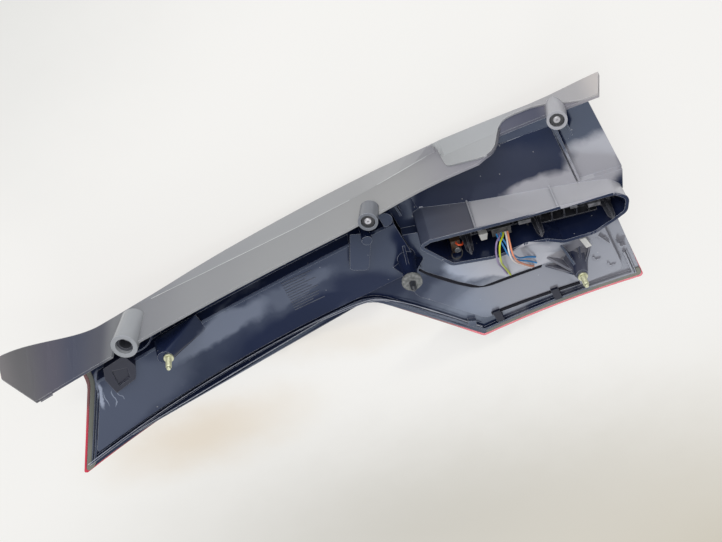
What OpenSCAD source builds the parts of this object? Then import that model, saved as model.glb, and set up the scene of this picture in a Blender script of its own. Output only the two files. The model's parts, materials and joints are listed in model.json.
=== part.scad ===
/* [Body outline] */
// Length of the lamp from the centre pin to the tip of the narrow end
arm_len = 396; // [360:1:430]
// Length of the lamp from the centre pin to the right side of the wide end
wide_len = 234; // [230:1:250]
// Length from the centre pin to the right side of the wide end's foot
foot_len = 209; // [206:1:222]
// Distance of the side wall's outer face from the centre pin
side_off = 82; // [80:0.5:90]
// Distance of the foot's lower edge from the centre pin
foot_off = 155.5; // [152:0.5:166]
// Distance of the arm's lower edge from the centre pin at its root
root_off = 42; // [38:1:48]
// Distance of the arm's lower edge from the centre pin at its tip
tip_off = 17; // [12:1:22]
// Radius of the inner corner between the arm and the foot
root_fillet = 34; // [20:1:45]
// Radius of the long curve that the whole lamp follows
belly_r = 900; // [860:5:1100]
// Depth of the rim below the washer of the centre pin
rim_depth = 60; // [56:0.5:66]

/* [Housing] */
// Thickness of the housing's floor
floor_t = 3; // [2:0.1:4]
// Height of the raised back of the arm above the rim
arm_rise = 20; // [12:0.5:24]
// Height of the raised deck around the collar above the rim
deck_rise = 15; // [13:0.5:20]
// Height of the lower plate above the rim
plate_rise = 9; // [6:0.5:12]
// Width of the flat rim around the housing
rim_w = 10; // [8:0.5:12]
// Width of the sloping side of the arm's raised back
slope_w = 13; // [8:0.5:16]
// Width of the channel between the side wall and the arm's raised back
channel_w = 34; // [30:0.5:38]
// Thickness of the ribs and the collar's wall
wall = 2.6; // [2:0.1:3.2]

/* [Side wall] */
// Length that the side wall runs past the centre pin towards the narrow end
side_left = 388; // [380:1:392]
// Length that the side wall runs past the centre pin towards the wide end
side_right = 240; // [238:1:250]
// Height of the side wall's free edge above the rim
side_h = 43; // [38:0.5:48]
// Thickness of the side wall
side_t = 2.8; // [2:0.1:3.5]
// Depth of the side wall's flared foot below the rim
flare_d = 15; // [10:0.5:18]
// Thickness of the apron on the side wall
apron_t = 2; // [1.5:0.1:2.5]
// Height of the apron above the rim
apron_h = 27; // [22:0.5:30]

/* [Lens] */
// Depth of the lens below the rim
lens_d = 28; // [24:0.5:34]
// Thickness of the lens
lens_t = 3; // [2.5:0.1:4]
// Radius of the lens across its width
crown_r = 640; // [600:10:900]
// Distance that the lens edge stands out past the housing
lens_lip = 3.5; // [2:0.5:5]
// Width of the strip between the lens edge and the housing
strip_w = 4.6; // [3:0.1:5.5]

/* [Fixings] */
// Outer radius of the narrow end's sleeve
boss_a_r = 13.4; // [12:0.1:15]
// Outer radius of the middle sleeve and the wide end's sleeve
boss_b_r = 9.8; // [9:0.1:11]
// Hole radius of the narrow end's bush
bush_a_hole = 6.2; // [5:0.1:7]
// Hole radius of the middle bush and the wide end's bush
bush_b_hole = 4.4; // [3.6:0.1:4.8]
// Wall of a bush
bush_wall = 2.6; // [2:0.1:3]
// Length of a bush
bush_len = 12; // [8:0.5:16]
// Radius of a stud's thread
stud_r = 3; // [2.5:0.1:3.5]
// Length of a stud above its flange
stud_len = 15; // [12:0.5:20]
// Radius of a stud's flange
stud_flange_r = 5.2; // [4.8:0.1:6]
// Radius of the centre pin
pin_r = 3.2; // [2.5:0.1:4]
// Length of the centre pin above its washer
pin_len = 12; // [8:0.5:16]
// Radius of the centre pin's washer
washer_r = 10.4; // [9:0.1:12]
// Thickness of the centre pin's washer
washer_t = 5; // [3:0.1:6]

/* [Lamp carrier] */
// Distance between the carrier's pegs
peg_gap = 71; // [68:0.5:74]
// Radius of a peg
peg_r = 5.4; // [4:0.1:5.6]
// Height of a peg's tip above the washer of the centre pin
peg_top = 9; // [6:0.5:12]
// Depth of the carrier's top below the washer of the centre pin
carrier_top = 26; // [22:0.5:28]
// Thickness of the carrier's ribs
rib_t = 1.4; // [1:0.1:2]
// Radius of a bulb's glass
bulb_r = 8; // [6:0.1:9]
// Thickness of the reflector
reflector_t = 2; // [1.5:0.1:2.5]

/* [Wires] */
// Radius of a wire
wire_r = 0.95; // [0.7:0.05:1]

/* [Hidden] */

// Clearance of pieces that sit in or on each other
gap = 0.1;
// Facets of a true round
round_fn = 48;
// Facets of the long curve's full circle
belly_fn = 720;
// Height that outlines are drawn up through, and the width that the long curve is cut to
tall = 400;
// Bend of the side wall in plan: it stands nearest the pin at side_mid
side_mid = -16;
side_bend_left = 1900;
side_bend_right = 3750;
// Screws and sleeves lean this much towards the side and the narrow end
lean = [-10, -8, 0];

function rim_z(x) = belly_r - rim_depth - sqrt(belly_r * belly_r - x * x);
function side_y(x) = side_off + pow(x - side_mid, 2) / (2 * (x < side_mid ? side_bend_left : side_bend_right));
function smooth(t) = let (c = min(1, max(0, t))) c * c * (3 - 2 * c);
function mix(a, b, t) = a + (b - a) * t;
function unit(v) = v / norm(v);
function turn_of(a, b, c) = let (u = b - a, v = c - b) u.x * v.y - u.y * v.x;

// Outlines are counter-clockwise lists of [x, y, corner radius]
function xy(p) = [p.x, p.y];
function line_cross(p, u, q, v) = p + u * ((q.x - p.x) * v.y - (q.y - p.y) * v.x) / (u.x * v.y - u.y * v.x);
function inset(base, d) = let (n = len(base)) [for (i = [0:n - 1])
    let (a = xy(base[(i + n - 1) % n]), b = xy(base[i]), c = xy(base[(i + 1) % n]),
         u = unit(b - a), v = unit(c - b),
         p = line_cross(b + d * [-u.y, u.x], u, b + d * [-v.y, v.x], v),
         bulge = turn_of(a, b, c) > 0 ? -1 : 1)
    [p.x, p.y, base[i][2] == 0 ? 0 : max(0.4, base[i][2] + bulge * d)]];
function corner(a, b, c, r) = let (
        u = unit(a - b), v = unit(c - b),
        half = acos(min(1, max(-1, u * v))) / 2,
        cut = min(r / tan(half), 0.49 * norm(a - b), 0.49 * norm(c - b)),
        rr = cut * tan(half),
        m = b + unit(u + v) * rr / sin(half),
        from = atan2(b.y + u.y * cut - m.y, b.x + u.x * cut - m.x),
        sweep = (turn_of(a, b, c) > 0 ? 1 : -1) * (180 - 2 * half),
        steps = max(2, ceil(abs(sweep) / 12)))
    [for (k = [0:steps]) m + rr * [cos(from + sweep * k / steps), sin(from + sweep * k / steps)]];
function rounded(base) = let (n = len(base)) [for (i = [0:n - 1])
    let (a = xy(base[(i + n - 1) % n]), b = xy(base[i]), c = xy(base[(i + 1) % n]))
    each (base[i][2] > 0 ? corner(a, b, c, base[i][2]) : [b])];

// Stations along the side wall, shared by the wall and by the housing that it stands against
side_step = 21;
wall_steps = ceil((side_right + side_left) / side_step);
wall_stations = [for (k = [0:wall_steps]) mix(-side_left, side_right, k / wall_steps)];
arm_top_x = 70 - arm_len;
end_bend = [61 - arm_len, 67];
side_stations = [for (k = [wall_steps:-1:0])
    if (wall_stations[k] > arm_top_x + 6 && wall_stations[k] < wide_len - 10) wall_stations[k]];

// The narrow end is cut at a slant; the lens stands out past it and along the foot's lower edge
body_outline = concat(
    [[-arm_len, -tip_off, 3],
     [-60, -root_off, root_fillet],
     [26, -foot_off, 4],
     [foot_len, 8 - foot_off, 5],
     [foot_len + 1, -40, 14],
     [wide_len, 1, 6],
     [wide_len - 4.5, side_y(wide_len - 4.5) - side_t - gap, 0]],
    [for (x = side_stations) [x, side_y(x) - side_t - gap, 0]],
    [[arm_top_x, side_y(arm_top_x) - side_t - gap, 0], [end_bend.x, end_bend.y, 30]]);
lens_side = 2;
lens_stations = [180, 120, 60, 0, -60, -120, -180, -240, -290];
lens_outline = concat(
    [[-arm_len - lens_lip, -tip_off - 1, 3],
     [-60, 1 - root_off, root_fillet],
     [25, -foot_off - lens_lip, 4],
     [foot_len + 1, 8 - foot_off - lens_lip, 5],
     [foot_len, -40, 14],
     [wide_len - 1, 1, 6],
     [wide_len - 5.5, side_y(wide_len) - side_t - lens_side, 4]],
    [for (x = lens_stations) [x, side_y(x) - side_t - lens_side, 0]],
    [[arm_top_x - lens_lip, side_y(arm_top_x) - side_t - lens_side, 4], [end_bend.x - lens_lip, end_bend.y, 30]]);

// The collar's lip, drawn at the height of the centre pin's washer
collar_outline = [[44, -1, 10], [88, -17, 40], [118, -17, 12], [138, -24, 10], [152, -35, 12],
    [183, -41, 20], [206, -36, 8], [220, -32, 9], [227, -17, 9], [217, -5, 8], [164, 8, 60], [105, 22, 60],
    [37, 39, 4], [24, 37, 4]];
collar_cut = inset(collar_outline, wall);
deck_outline = [[-22, 28, 5], [10, -32, 10], [34, -62, 10], [52, -80, 10], [138, -82, 14], [190, -66, 12],
    [190, -20, 10], [150, -2, 10], [40, 16, 10], [6, 26, 3], [-16, 40, 3]];
plate_outline = [[-18, 12, 8], [-14, -60, 20], [38, -130, 10], [150, -132, 8], [194, -128, 8], [194, -30, 8],
    [120, -6, 8], [30, 4, 8]];
shelf_outline = [[186, 2, 0], [wide_len - 1, 2, 0], [wide_len - 8, -22, 4], [204, -30, 4], [186, -14, 0]];
tongue_outline = [[-34, 64, 2], [-54, 24, 4], [-38, 13, 4], [-15, 53, 2]];

// Where the fixings stand, at the top of each sleeve, post or pin; the narrow end's move with it
function from_end(d) = d - arm_len;
function beside_wall(d, y, h) = [from_end(d), side_y(from_end(d)) + y, rim_z(from_end(d)) + h];
boss_a = beside_wall(124, 1.75, 41.9);
boss_b = [-6.5, 85.8, -8];
boss_c = [196, 91, -16];
boss_a_len = 46;
boss_b_len = 25;
boss_c_len = 32;
stud_left = beside_wall(153, -29.5, 51.6);
stud_right = [153, -92, -6];
bush_seat = 5;
screw_head_h = 3.4;
stud_flange_t = 2;
clip_spots = [51.5, 118.5];
corner_marks = [[184, -78], [199, -96], [170, -104], [181, -118]];
pocket_top = 27;
reflector_drop = 7;

// The lamp carrier lies along the collar; each bay is [start, end, low edge]
carrier_at = [136, -8.3];
carrier_turn = -14.4;
carrier_bays = [[-74, -8, 6], [-8, 82, 13]];
carrier_high = 15;
carrier_floor = 2;
cell_gap = 11.5;
peg_base_r = 6.4;
bulb_spots = [-58, 0, 46];
bulb_base_r = 6.5;
bulb_drop = 14;
bulb_shift = 4;

// Loose parts on the carrier
connector_at = [101.5, 2];
connector_top = 12;
socket_at = [55, 4];
socket_top = 14;

// Routes of the wires, from the connector or the socket to the free end
route_yellow = [[102.3, 0.8, -11.9], [102.3, 0.8, -9.6], [100.8, 2, -4], [96.3, 2.5, 4.5], [92, -5, 7.6], [88.8, -18, 4.8],
    [87, -30, -4.5], [86, -45, -18], [85.3, -62, -31], [85.5, -79, -39.9]];
route_violet = [[98, 1.9, -11.9], [98, 1.9, -9.6], [98.2, 3, -4.5], [93.5, 3.5, 2.5], [89, -4, 5], [85.8, -17, 2.4],
    [84, -30, -6], [83, -45, -19.5], [82.5, -60, -31.5], [82.7, -76, -40.1]];
route_white = [[104.5, 0.2, -11.9], [104.5, 0.2, -9.6], [103.5, -2, -3], [101.5, -6, 4], [99.9, -11, 7.5], [99.2, -20, 6],
    [99.6, -32, -1.5], [101.5, -50, -16], [105.5, -69, -30], [108.5, -80, -37.4]];
route_orange = [[106.6, -0.4, -11.9], [106.6, -0.4, -9.6], [105.3, -3, -3], [103.8, -7, 4], [102.6, -12, 7.8], [102, -21, 6],
    [102.4, -33, -1.5], [104.3, -51, -16], [108.3, -69, -29.5], [111.3, -79, -37]];
route_blue_a = [[95.8, 2.4, -11.9], [95.8, 2.4, -9.8], [96.2, 0.5, -5.5], [97.2, -5.5, -1.5], [97.5, -13, 2.2], [98, -20, 0.5],
    [98.4, -30, -8], [100.5, -50, -23.5], [109.5, -65, -31.5], [115.5, -76, -36.5]];
route_blue_b = [[100.1, 1.3, -11.9], [100.1, 1.3, -9.8], [99.6, -1, -5.5], [100.5, -6, -1.5], [100.8, -13, 2.2], [101, -20, 0.5],
    [101.5, -30, -8], [104, -49, -23], [111, -58, -30], [117.5, -68, -36.2]];
route_lead = [[56.5, 12.5, -13.9], [56.5, 12.5, -12], [58.4, 11.2, -9.6], [61.5, 8.5, -12], [63.2, 7, -20]];
route_loop = [[51, 6, -13.9], [51, 6, -12], [48.5, 8.3, -6], [48, 6, -2], [51, 3.5, -0.8], [56, 3, -2.2],
    [58.6, 5, -6], [58, 8, -10], [58, 8, -13.8]];

module above(h) {
    intersection() {
        translate([0, 0, belly_r - rim_depth]) rotate([90, 0, 0])
            cylinder(r = belly_r - h, h = 2 * tall, center = true, $fn = belly_fn);
        children();
    }
}

module below(h) {
    difference() {
        children();
        translate([0, 0, belly_r - rim_depth]) rotate([90, 0, 0])
            cylinder(r = belly_r - h, h = 2 * tall, center = true, $fn = belly_fn);
    }
}

module column(points) {
    translate([0, 0, -rim_depth - 60]) linear_extrude(tall) polygon(points);
}

// A layer that follows the long curve, from height a to height b above the rim
module layer(points, a, b) {
    above(a) below(b) column(points);
}

module layer_ring(outer, inner, a, b) {
    above(a) below(b) difference() {
        column(outer);
        column(inner);
    }
}

// A closed skin through rings of points, one ring at each station; both halves split their quads alike
module loft(rings) {
    n = len(rings[0]);
    m = len(rings);
    points = [for (ring = rings) each ring];
    sides = [for (i = [0:m - 2], j = [0:n - 1])
        let (a = i * n + j, b = i * n + (j + 1) % n)
        each (j < n / 2 ? [[a, b, b + n], [a, b + n, a + n]] : [[a, b, a + n], [b, b + n, a + n]])];
    first = [for (j = [n - 1:-1:0]) j];
    last = [for (j = [0:n - 1]) (m - 1) * n + j];
    polyhedron(points, concat(sides, [first, last]), convexity = 6);
}

// A bar swept along the long curve; its section is [height above the rim, y]
module along_belly(from, to, section) {
    translate([0, 0, belly_r - rim_depth]) rotate([-90, 0, 0])
        rotate([0, 0, 90 - asin(to / belly_r)])
        rotate_extrude(angle = asin(to / belly_r) - asin(from / belly_r), $fn = belly_fn)
        polygon([for (p = section) [belly_r - p[0], p[1]]]);
}

module leaning(at) {
    translate(at) rotate(lean) children();
}

module on_carrier() {
    translate([carrier_at.x, carrier_at.y, 0]) rotate([0, 0, carrier_turn]) children();
}

// Hollow under a raised part of the housing, kept clear of the floor inside the collar
module hollow(outline, h) {
    above(-1) below(h - wall) difference() {
        column(rounded(inset(outline, wall)));
        column(rounded(collar_outline));
    }
}

// The arm's raised back: its lower side slopes along the rim, its upper side follows the side wall
function rim_y(x) = -mix(root_off, tip_off, max(0, min(1, (-60 - x) / (arm_len - 60)))) + rim_w;
module arm_back(thin, rise) {
    first = -arm_len + 30;
    last = 8;
    intersection() {
        loft([for (k = [0:18]) let (
                x = mix(first, last, k / 18),
                z = rim_z(x),
                low = rim_y(x) + thin,
                high = side_y(x) - channel_w - thin)
            [[x, low, z - 5], [x, low, z + 1 - thin], [x, low + slope_w, z + rise], [x, high - 2, z + rise],
             [x, high, z + rise - 2], [x, high, z - 5]]]);
        above(thin > 0 ? -1 : 0.5) column(rounded(inset(body_outline, rim_w + thin)));
    }
}

module collar_wall() {
    above(1) difference() {
        translate([0, 0, -rim_depth]) linear_extrude(rim_depth) polygon(rounded(collar_outline));
        translate([0, 0, -rim_depth - 1]) linear_extrude(rim_depth + 2) polygon(rounded(collar_cut));
    }
    translate([0, 0, -1.4]) linear_extrude(1.4) difference() {
        polygon(rounded(inset(collar_outline, -1)));
        polygon(rounded(collar_cut));
    }
}

module sleeve(at, r, length, hole) {
    leaning(at) difference() {
        translate([0, 0, -length]) cylinder(r = r, h = length, $fn = round_fn);
        translate([0, 0, -bush_seat - bush_len]) cylinder(r = hole + bush_wall + gap, h = tall, $fn = round_fn);
        translate([0, 0, -bush_seat - bush_len - 8]) cylinder(r = hole - 0.8, h = tall, $fn = round_fn);
    }
}

// A triangular web: it stands on the floor and leans against a post
module web(at, angle, reach, drop, t) {
    translate([at.x, at.y, at.z - 1]) rotate([0, 0, angle]) rotate([90, 0, 0])
        linear_extrude(t, center = true) polygon([[0, 0], [2.5, 0], [reach, -drop], [0, -drop]]);
}

// A ramp from the side wall's foot up to the collar
module ramp() {
    loft([for (p = [[34, 39, 3.2], [84, 26, 11], [162, 8, 11], [188, 0, 10]]) let (
            x = p[0], z = rim_z(x))
        [[x, p[1] - 3, z + p[2]], [x, p[1], z + p[2]], [x, 74, z + floor_t + 0.1], [x, 74, z + 1],
         [x, p[1] - 3, z + 1]]]);
}

module right_bracket() {
    above(plate_rise - 1) union() {
        translate([stud_right.x, stud_right.y + 2, stud_right.z - 32])
            cylinder(r1 = 15, r2 = stud_flange_r + 1, h = 32, $fn = round_fn);
        for (a = [25, 62, 104, 146, 168]) web(stud_right, a, a > 100 ? 32 : 24, 30, wall);
    }
}

module left_bracket() {
    above(arm_rise - 1) hull() {
        translate([stud_left.x - 3, stud_left.y + 2, stud_left.z - 1.5]) cylinder(r = 7.5, h = 1.5, $fn = 32);
        translate([stud_left.x + 21, stud_left.y - 22, stud_left.z - 53]) cube([20, 24, 2]);
        translate([stud_left.x - 19, stud_left.y - 4, stud_left.z - 53]) cube([40, 6, 2]);
    }
}

module pin_post() {
    above(plate_rise - 1) union() {
        translate([0, 0, -rim_depth]) cylinder(r1 = 11, r2 = 6.4, h = rim_depth - washer_t, $fn = round_fn);
        for (a = [75, 195, 315]) web([0, 0, -washer_t - 4], a, 19, 34, wall);
    }
}

module floor_details() {
    layer([[189.8, 2], [192.2, 2], [192.2, 78], [189.8, 78]], 1, 9);
    layer(rounded(shelf_outline), 1, 9);
    layer([[16, 46], [18, 46], [18, 62], [10, 62], [10, 60], [16, 60]], 1, 12);
    layer([[16, -132], [24, -136], [27, -129], [19, -125]], 1, 8);
    layer(rounded(tongue_outline), 1, 27);
    above(1) translate([-20, 57, -rim_depth]) cylinder(r = 5.3, h = rim_depth - 20, $fn = round_fn);
    above(1) intersection() {
        translate([4, 66, -rim_depth]) cylinder(r = 8.5, h = rim_depth - 26, $fn = round_fn);
        translate([1, 50, -rim_depth]) cube([12, 30, rim_depth]);
    }
    above(1) translate([-14, 70, -rim_depth]) cube([14, 9.1, rim_depth - 30]);
    above(1) translate([81.2, 24, -rim_depth]) cube([1.6, 5.5, rim_depth - 1.4]);
    above(1) translate([161.2, 6, -rim_depth]) cube([1.6, 5, rim_depth - 1.4]);
    intersection() {
        union() {
            layer_ring(rounded(inset(body_outline, 7.4)), rounded(inset(body_outline, 9.4)), 1, 7);
            layer_ring(rounded(inset(body_outline, strip_w + 0.3)), rounded(inset(body_outline, strip_w + 1.5)), 1, 5);
        }
        column([[-420, -200], [240, -200], [240, -108], [60, -108], [0, -10], [-300, 0], [-340, 62], [-420, 62]]);
    }
    for (x = [191, 202]) layer([[x, 64], [x + 1.6, 64], [x + 1.6, 79], [x, 79]], 1, 15);
    layer([[177, -58], [179, -58], [192, -85], [190, -85]], 1, plate_rise + 4);
    for (p = corner_marks) layer([[p.x, p.y], [p.x + 7, p.y], [p.x + 7, p.y + 1.4], [p.x + 1.4, p.y + 1.4],
        [p.x + 1.4, p.y + 6], [p.x, p.y + 6]], 1, plate_rise + 1.8);
    pocket_arc(boss_b, boss_b_len, boss_b_r + 5, 20);
    pocket_arc(boss_a, boss_a_len, boss_a_r + 4, arm_rise + 6);
}

// A half-round wall around the lower side of a sleeve's foot
module pocket_arc(at, length, r, h) {
    foot = [at.x - length * sin(lean.y), at.y + length * sin(lean.x)];
    intersection() {
        layer_ring([for (a = [0:10:350]) foot + r * [cos(a), sin(a)]],
            [for (a = [0:10:350]) foot + (r - rib_t) * [cos(a), sin(a)]], 1, h);
        column([[foot.x - r - 1, foot.y + 1], [foot.x - r - 1, foot.y - r - 1], [foot.x + r + 1, foot.y - r - 1],
            [foot.x + r + 1, foot.y + 1]]);
    }
}

module rear_housing() {
    color("#262a40") difference() {
        union() {
            difference() {
                union() {
                    layer(rounded(body_outline), 0, floor_t);
                    arm_back(0, arm_rise);
                    ramp();
                    layer(rounded(plate_outline), 0.5, plate_rise);
                    layer(rounded(deck_outline), 0.5, deck_rise);
                }
                arm_back(wall, arm_rise - wall);
                hollow(plate_outline, plate_rise);
                hollow(deck_outline, deck_rise);
            }
            floor_details();
            pin_post();
            left_bracket();
            right_bracket();
            sleeve(boss_a, boss_a_r, boss_a_len, bush_a_hole);
            sleeve(boss_b, boss_b_r, boss_b_len, bush_b_hole);
            sleeve(boss_c, boss_b_r, boss_c_len, bush_b_hole);
            collar_wall();
        }
        above(floor_t) translate([0, 0, -rim_depth]) linear_extrude(rim_depth + 1)
            polygon(rounded(collar_cut));
        for (u = bulb_spots) on_carrier() translate([u, bulb_shift, -rim_depth - 10])
            cylinder(r = bulb_base_r + 1, h = 60, $fn = round_fn);
        below(0) column(rounded(inset(lens_outline, -0.4)));
    }
}

function wall_top(x) = x < 25 - side_left ? mix(6, side_h, (x + side_left) / 25)
    : x < 116 ? side_h - 9 * smooth((x + 38) / 113)
    : max(floor_t, apron_top(x) - 0.5);
function wall_slant(x) = 0.5 * smooth((-x - 300) / 90);
function crease_h(x) = max(0.5 - flare_d, lookup(x, [[-300, -14.5], [-262, -13], [-190, -6], [-124, -1.8],
    [-80, 0], [-10, -1], [19, -4.5], [49, -8.9], [72, -13], [76, -12.5], [84, 2], [250, 2]]));
function flare(x) = lookup(x, [[-290, 0.2], [-234, 2], [-197, 4.6], [-160, 6.4], [-104, 8.1], [-50, 9.2],
    [20, 9.4], [60, 8.8], [76, 8.8], [94, 6.8], [130, 5.8], [177, 4.6], [200, 5.6], [227, 8.6], [245, 10]]);
function end_slant(x) = 0.5 * smooth((x - 190) / 50);
function wall_point(x, h, back) = [x + end_slant(x) * (3 - h),
    side_y(x) + wall_slant(x) * (side_h - h) - back, rim_z(x) + h];

// The wall is notched for each sleeve, from the sleeve's lower end up
module sleeve_room(at, r, length) {
    leaning(at) translate([0, 0, -length - gap]) cylinder(r = r + gap, h = length + 40, $fn = round_fn);
}

module all_sleeve_rooms() {
    sleeve_room(boss_a, boss_a_r, boss_a_len);
    sleeve_room(boss_b, boss_b_r, boss_b_len);
    sleeve_room(boss_c, boss_b_r, boss_c_len);
}

module side_panel() {
    color("#9a9c9f") difference() {
        union() {
            loft([for (x = panel_stations) let (
                    top = wall_top(x),
                    crease = min(crease_h(x), top - 1))
                [wall_point(x, top, 0), wall_point(x, crease, 0),
                 wall_point(x, -flare_d, -flare(x)), wall_point(x, -flare_d, side_t - flare(x)),
                 wall_point(x, crease, side_t), wall_point(x, top, side_t)]]);
            translate([-362, 111.4, rim_z(-362) + side_h - 8]) rotate([0, 0, -10]) rotate([0, 22, 0])
                cube([13, 1.4, 10.5]);
        }
        all_sleeve_rooms();
    }
}

// Stations of the apron and of the side wall: even ones, and more where an edge bends
apron_stations = [76, 78, 79.5, 81, 82.5, 84, 88, 94, 100, 112, 121, 125, 129, 133, 136, 139, 143, 148,
    153, 162, 178, 188, 198, 210, 222, 232, side_right];
panel_stations = concat(
    [for (x = wall_stations) if (x < 25 - side_left - 4) x],
    [25 - side_left],
    [for (x = wall_stations) if (x > 25 - side_left + 4 && x < 66) x],
    [72], apron_stations);
function apron_top(x) = lookup(x, [[74, -13.6], [78, -13.2], [79.5, -9], [80.5, 4], [82, 16], [85, 20.5],
    [100, 25], [112, 28.6], [121, 29.6], [126, 28], [130, 25], [134, 19.3], [137, 11], [140, 1.6],
    [144, -5], [150, -9.5], [158, -11], [180, -11], [198, -6], [216, 2.5], [250, 3.5]]);
function apron_thick(x) = mix(0.3, apron_t, smooth((x - 76) / 16));

// The apron lies on the wall's outer face and follows its crease
module side_apron() {
    color("#b4b7b9") difference() {
        loft([for (x = apron_stations) let (
                crease = crease_h(x),
                top = apron_top(x),
                t = apron_thick(x),
                knee = min(crease, top - 0.4),
                slope = flare(x) / (flare_d + crease),
                lift = top > crease ? 0 : slope * (crease - top),
                out = slope * (crease - knee))
            [wall_point(x, top, -gap - t - lift), wall_point(x, knee, -gap - t - out),
             wall_point(x, -flare_d, -gap - flare(x) - t), wall_point(x, -flare_d, -gap - flare(x)),
             wall_point(x, knee, -gap - out), wall_point(x, top, -gap - lift)]]);
        sleeve_room(boss_c, boss_b_r, boss_c_len);
    }
}

// The lens's outer face bulges along the lamp and across it
module bulge(back) {
    translate([0, 0, belly_r - rim_depth]) rotate([-90, 0, 0]) rotate([0, 0, 62])
        rotate_extrude(angle = 56, $fn = belly_fn) intersection() {
            translate([belly_r + lens_d - crown_r - back, -25]) circle(r = crown_r, $fn = belly_fn);
            translate([belly_r - 8, -tall / 2]) square([lens_d + 10, tall]);
        }
}

module outer_lens() {
    color("#c4121f") difference() {
        below(floor_t) intersection() {
            column(rounded(lens_outline));
            bulge(0);
        }
        intersection() {
            column(rounded(inset(lens_outline, lens_t)));
            bulge(lens_t);
        }
        above(0) column(rounded(inset(body_outline, -gap)));
    }
}

module rim_strip() {
    color("#8d8f7c") intersection() {
        layer_ring(rounded(inset(body_outline, 0.2)), rounded(inset(body_outline, strip_w)), floor_t, floor_t + 1.2);
        union() {
            column([[-420, -40], [-arm_len + 14, -14], [end_bend.x + 12, end_bend.y], [arm_top_x + 12, 88],
                [-420, 88]]);
            column([[30, -foot_off - 10], [foot_len + 10, -foot_off - 10], [foot_len + 10, -136], [30, -148]]);
        }
    }
}

module bush(at, hole) {
    leaning(at) translate([0, 0, -bush_seat - bush_len]) difference() {
        cylinder(r = hole + bush_wall, h = bush_len, $fn = round_fn);
        translate([0, 0, -1]) cylinder(r = hole, h = bush_len + 2, $fn = round_fn);
    }
}

module bush_a() {
    color("#7b7e82") bush(boss_a, bush_a_hole);
}

module bush_b() {
    color("#7b7e82") bush(boss_b, bush_b_hole);
}

module bush_c() {
    color("#7b7e82") bush(boss_c, bush_b_hole);
}

module screw(at) {
    leaning(at) difference() {
        union() {
            translate([0, 0, -bush_seat]) cylinder(r = bush_b_hole + 1.8, h = screw_head_h, $fn = round_fn);
            translate([0, 0, -bush_seat - bush_len]) cylinder(r = bush_b_hole - 0.4, h = bush_len, $fn = round_fn);
        }
        translate([0, 0, -bush_seat + 1]) cylinder(r = 2.6, h = screw_head_h, $fn = 6);
    }
}

module screw_b() {
    color("#d8d9db") screw(boss_b);
}

module screw_c() {
    color("#a5a7aa") screw(boss_c);
}

module stud(at) {
    translate(at) {
        cylinder(r = stud_flange_r, h = stud_flange_t, $fn = round_fn);
        translate([0, 0, stud_flange_t]) cylinder(r = stud_r, h = stud_len - 3, $fn = round_fn);
        translate([0, 0, stud_flange_t + stud_len - 3]) cylinder(r = stud_r - 0.9, h = 3, $fn = round_fn);
    }
}

module studs() {
    color("#c9c08a") {
        stud(stud_left);
        stud(stud_right);
    }
}

module centre_pin() {
    color("#3a3c42") {
        translate([0, 0, -washer_t]) cylinder(r = pin_r + 0.5, h = washer_t, $fn = round_fn);
        cylinder(r = pin_r, h = pin_len - 3, $fn = round_fn);
        translate([0, 0, pin_len - 3]) cylinder(r1 = pin_r, r2 = 1.2, h = 3, $fn = round_fn);
    }
}

module pin_washer() {
    color("#6d6f6b") rotate_extrude($fn = 2 * round_fn) polygon([[pin_r + 0.5 + gap, -washer_t],
        [washer_r - 0.8, -washer_t], [washer_r, -washer_t + 0.8], [washer_r, -0.8], [washer_r - 0.8, 0],
        [pin_r + 0.5 + gap, 0]]);
}

module peg(u) {
    translate([u, 0, -carrier_top - 1]) {
        cylinder(r = peg_base_r, h = 5, $fn = round_fn);
        intersection() {
            union() {
                cylinder(r1 = peg_r, r2 = peg_r - 1.6, h = carrier_top + peg_top - 5, $fn = round_fn);
                translate([0, 0, carrier_top + peg_top - 5])
                    cylinder(r1 = peg_r - 1.6, r2 = 0.8, h = 6, $fn = round_fn);
            }
            union() {
                translate([-0.9, -peg_r, 0]) cube([1.8, 2 * peg_r, tall]);
                translate([-peg_r, -0.9, 0]) cube([2 * peg_r, 1.8, tall]);
            }
        }
    }
}

module carrier_bay(bay) {
    long = bay[1] - bay[0];
    low = bay[2];
    cells = floor((long - rib_t) / cell_gap);
    pitch = (long - rib_t) / cells;
    tall_rib = rim_depth - carrier_top;
    for (k = [0:cells])
        translate([bay[0] + k * pitch, -low, -rim_depth]) cube([rib_t, low + carrier_high, tall_rib]);
    for (v = [-low, carrier_high - rib_t, bulb_shift + 2])
        translate([bay[0], v, -rim_depth]) cube([long, rib_t, tall_rib]);
}

module lamp_carrier() {
    color("#1f2026") intersection() {
        union() {
            above(floor_t) on_carrier() {
                for (bay = carrier_bays) carrier_bay(bay);
                for (u = [-peg_gap, 0, peg_gap]) {
                    peg(u);
                    translate([u, 0, -rim_depth])
                        cylinder(r = peg_base_r, h = rim_depth - carrier_top, $fn = round_fn);
                }
            }
            above(floor_t) below(floor_t + carrier_floor) on_carrier() for (bay = carrier_bays)
                translate([bay[0], -bay[2], -rim_depth - 10])
                    cube([bay[1] - bay[0], bay[2] + carrier_high, tall]);
        }
        column(rounded(inset(collar_outline, wall + 0.3)));
    }
}

module wire_connector() {
    color("#8f8d88") translate([connector_at.x, connector_at.y, -carrier_top]) rotate([0, 0, carrier_turn])
        translate([-9.5, -4.5, 0]) cube([19, 9, carrier_top - connector_top]);
}

module small_plug() {
    color("#e6e4de") translate([82.5, -1, -carrier_top]) rotate([0, 0, carrier_turn])
        linear_extrude(7) polygon([[-4.5, 4], [4.5, 4], [3, -3.5], [-3, -3.5]]);
}

// The socket stands on the housing's floor, beside the carrier
module bulb_socket() {
    color("#4a3428") above(floor_t) translate([socket_at.x, socket_at.y, -rim_depth])
        rotate([0, 0, carrier_turn]) translate([-6, -4, 0]) cube([9.4, 14, rim_depth - socket_top]);
}

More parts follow.
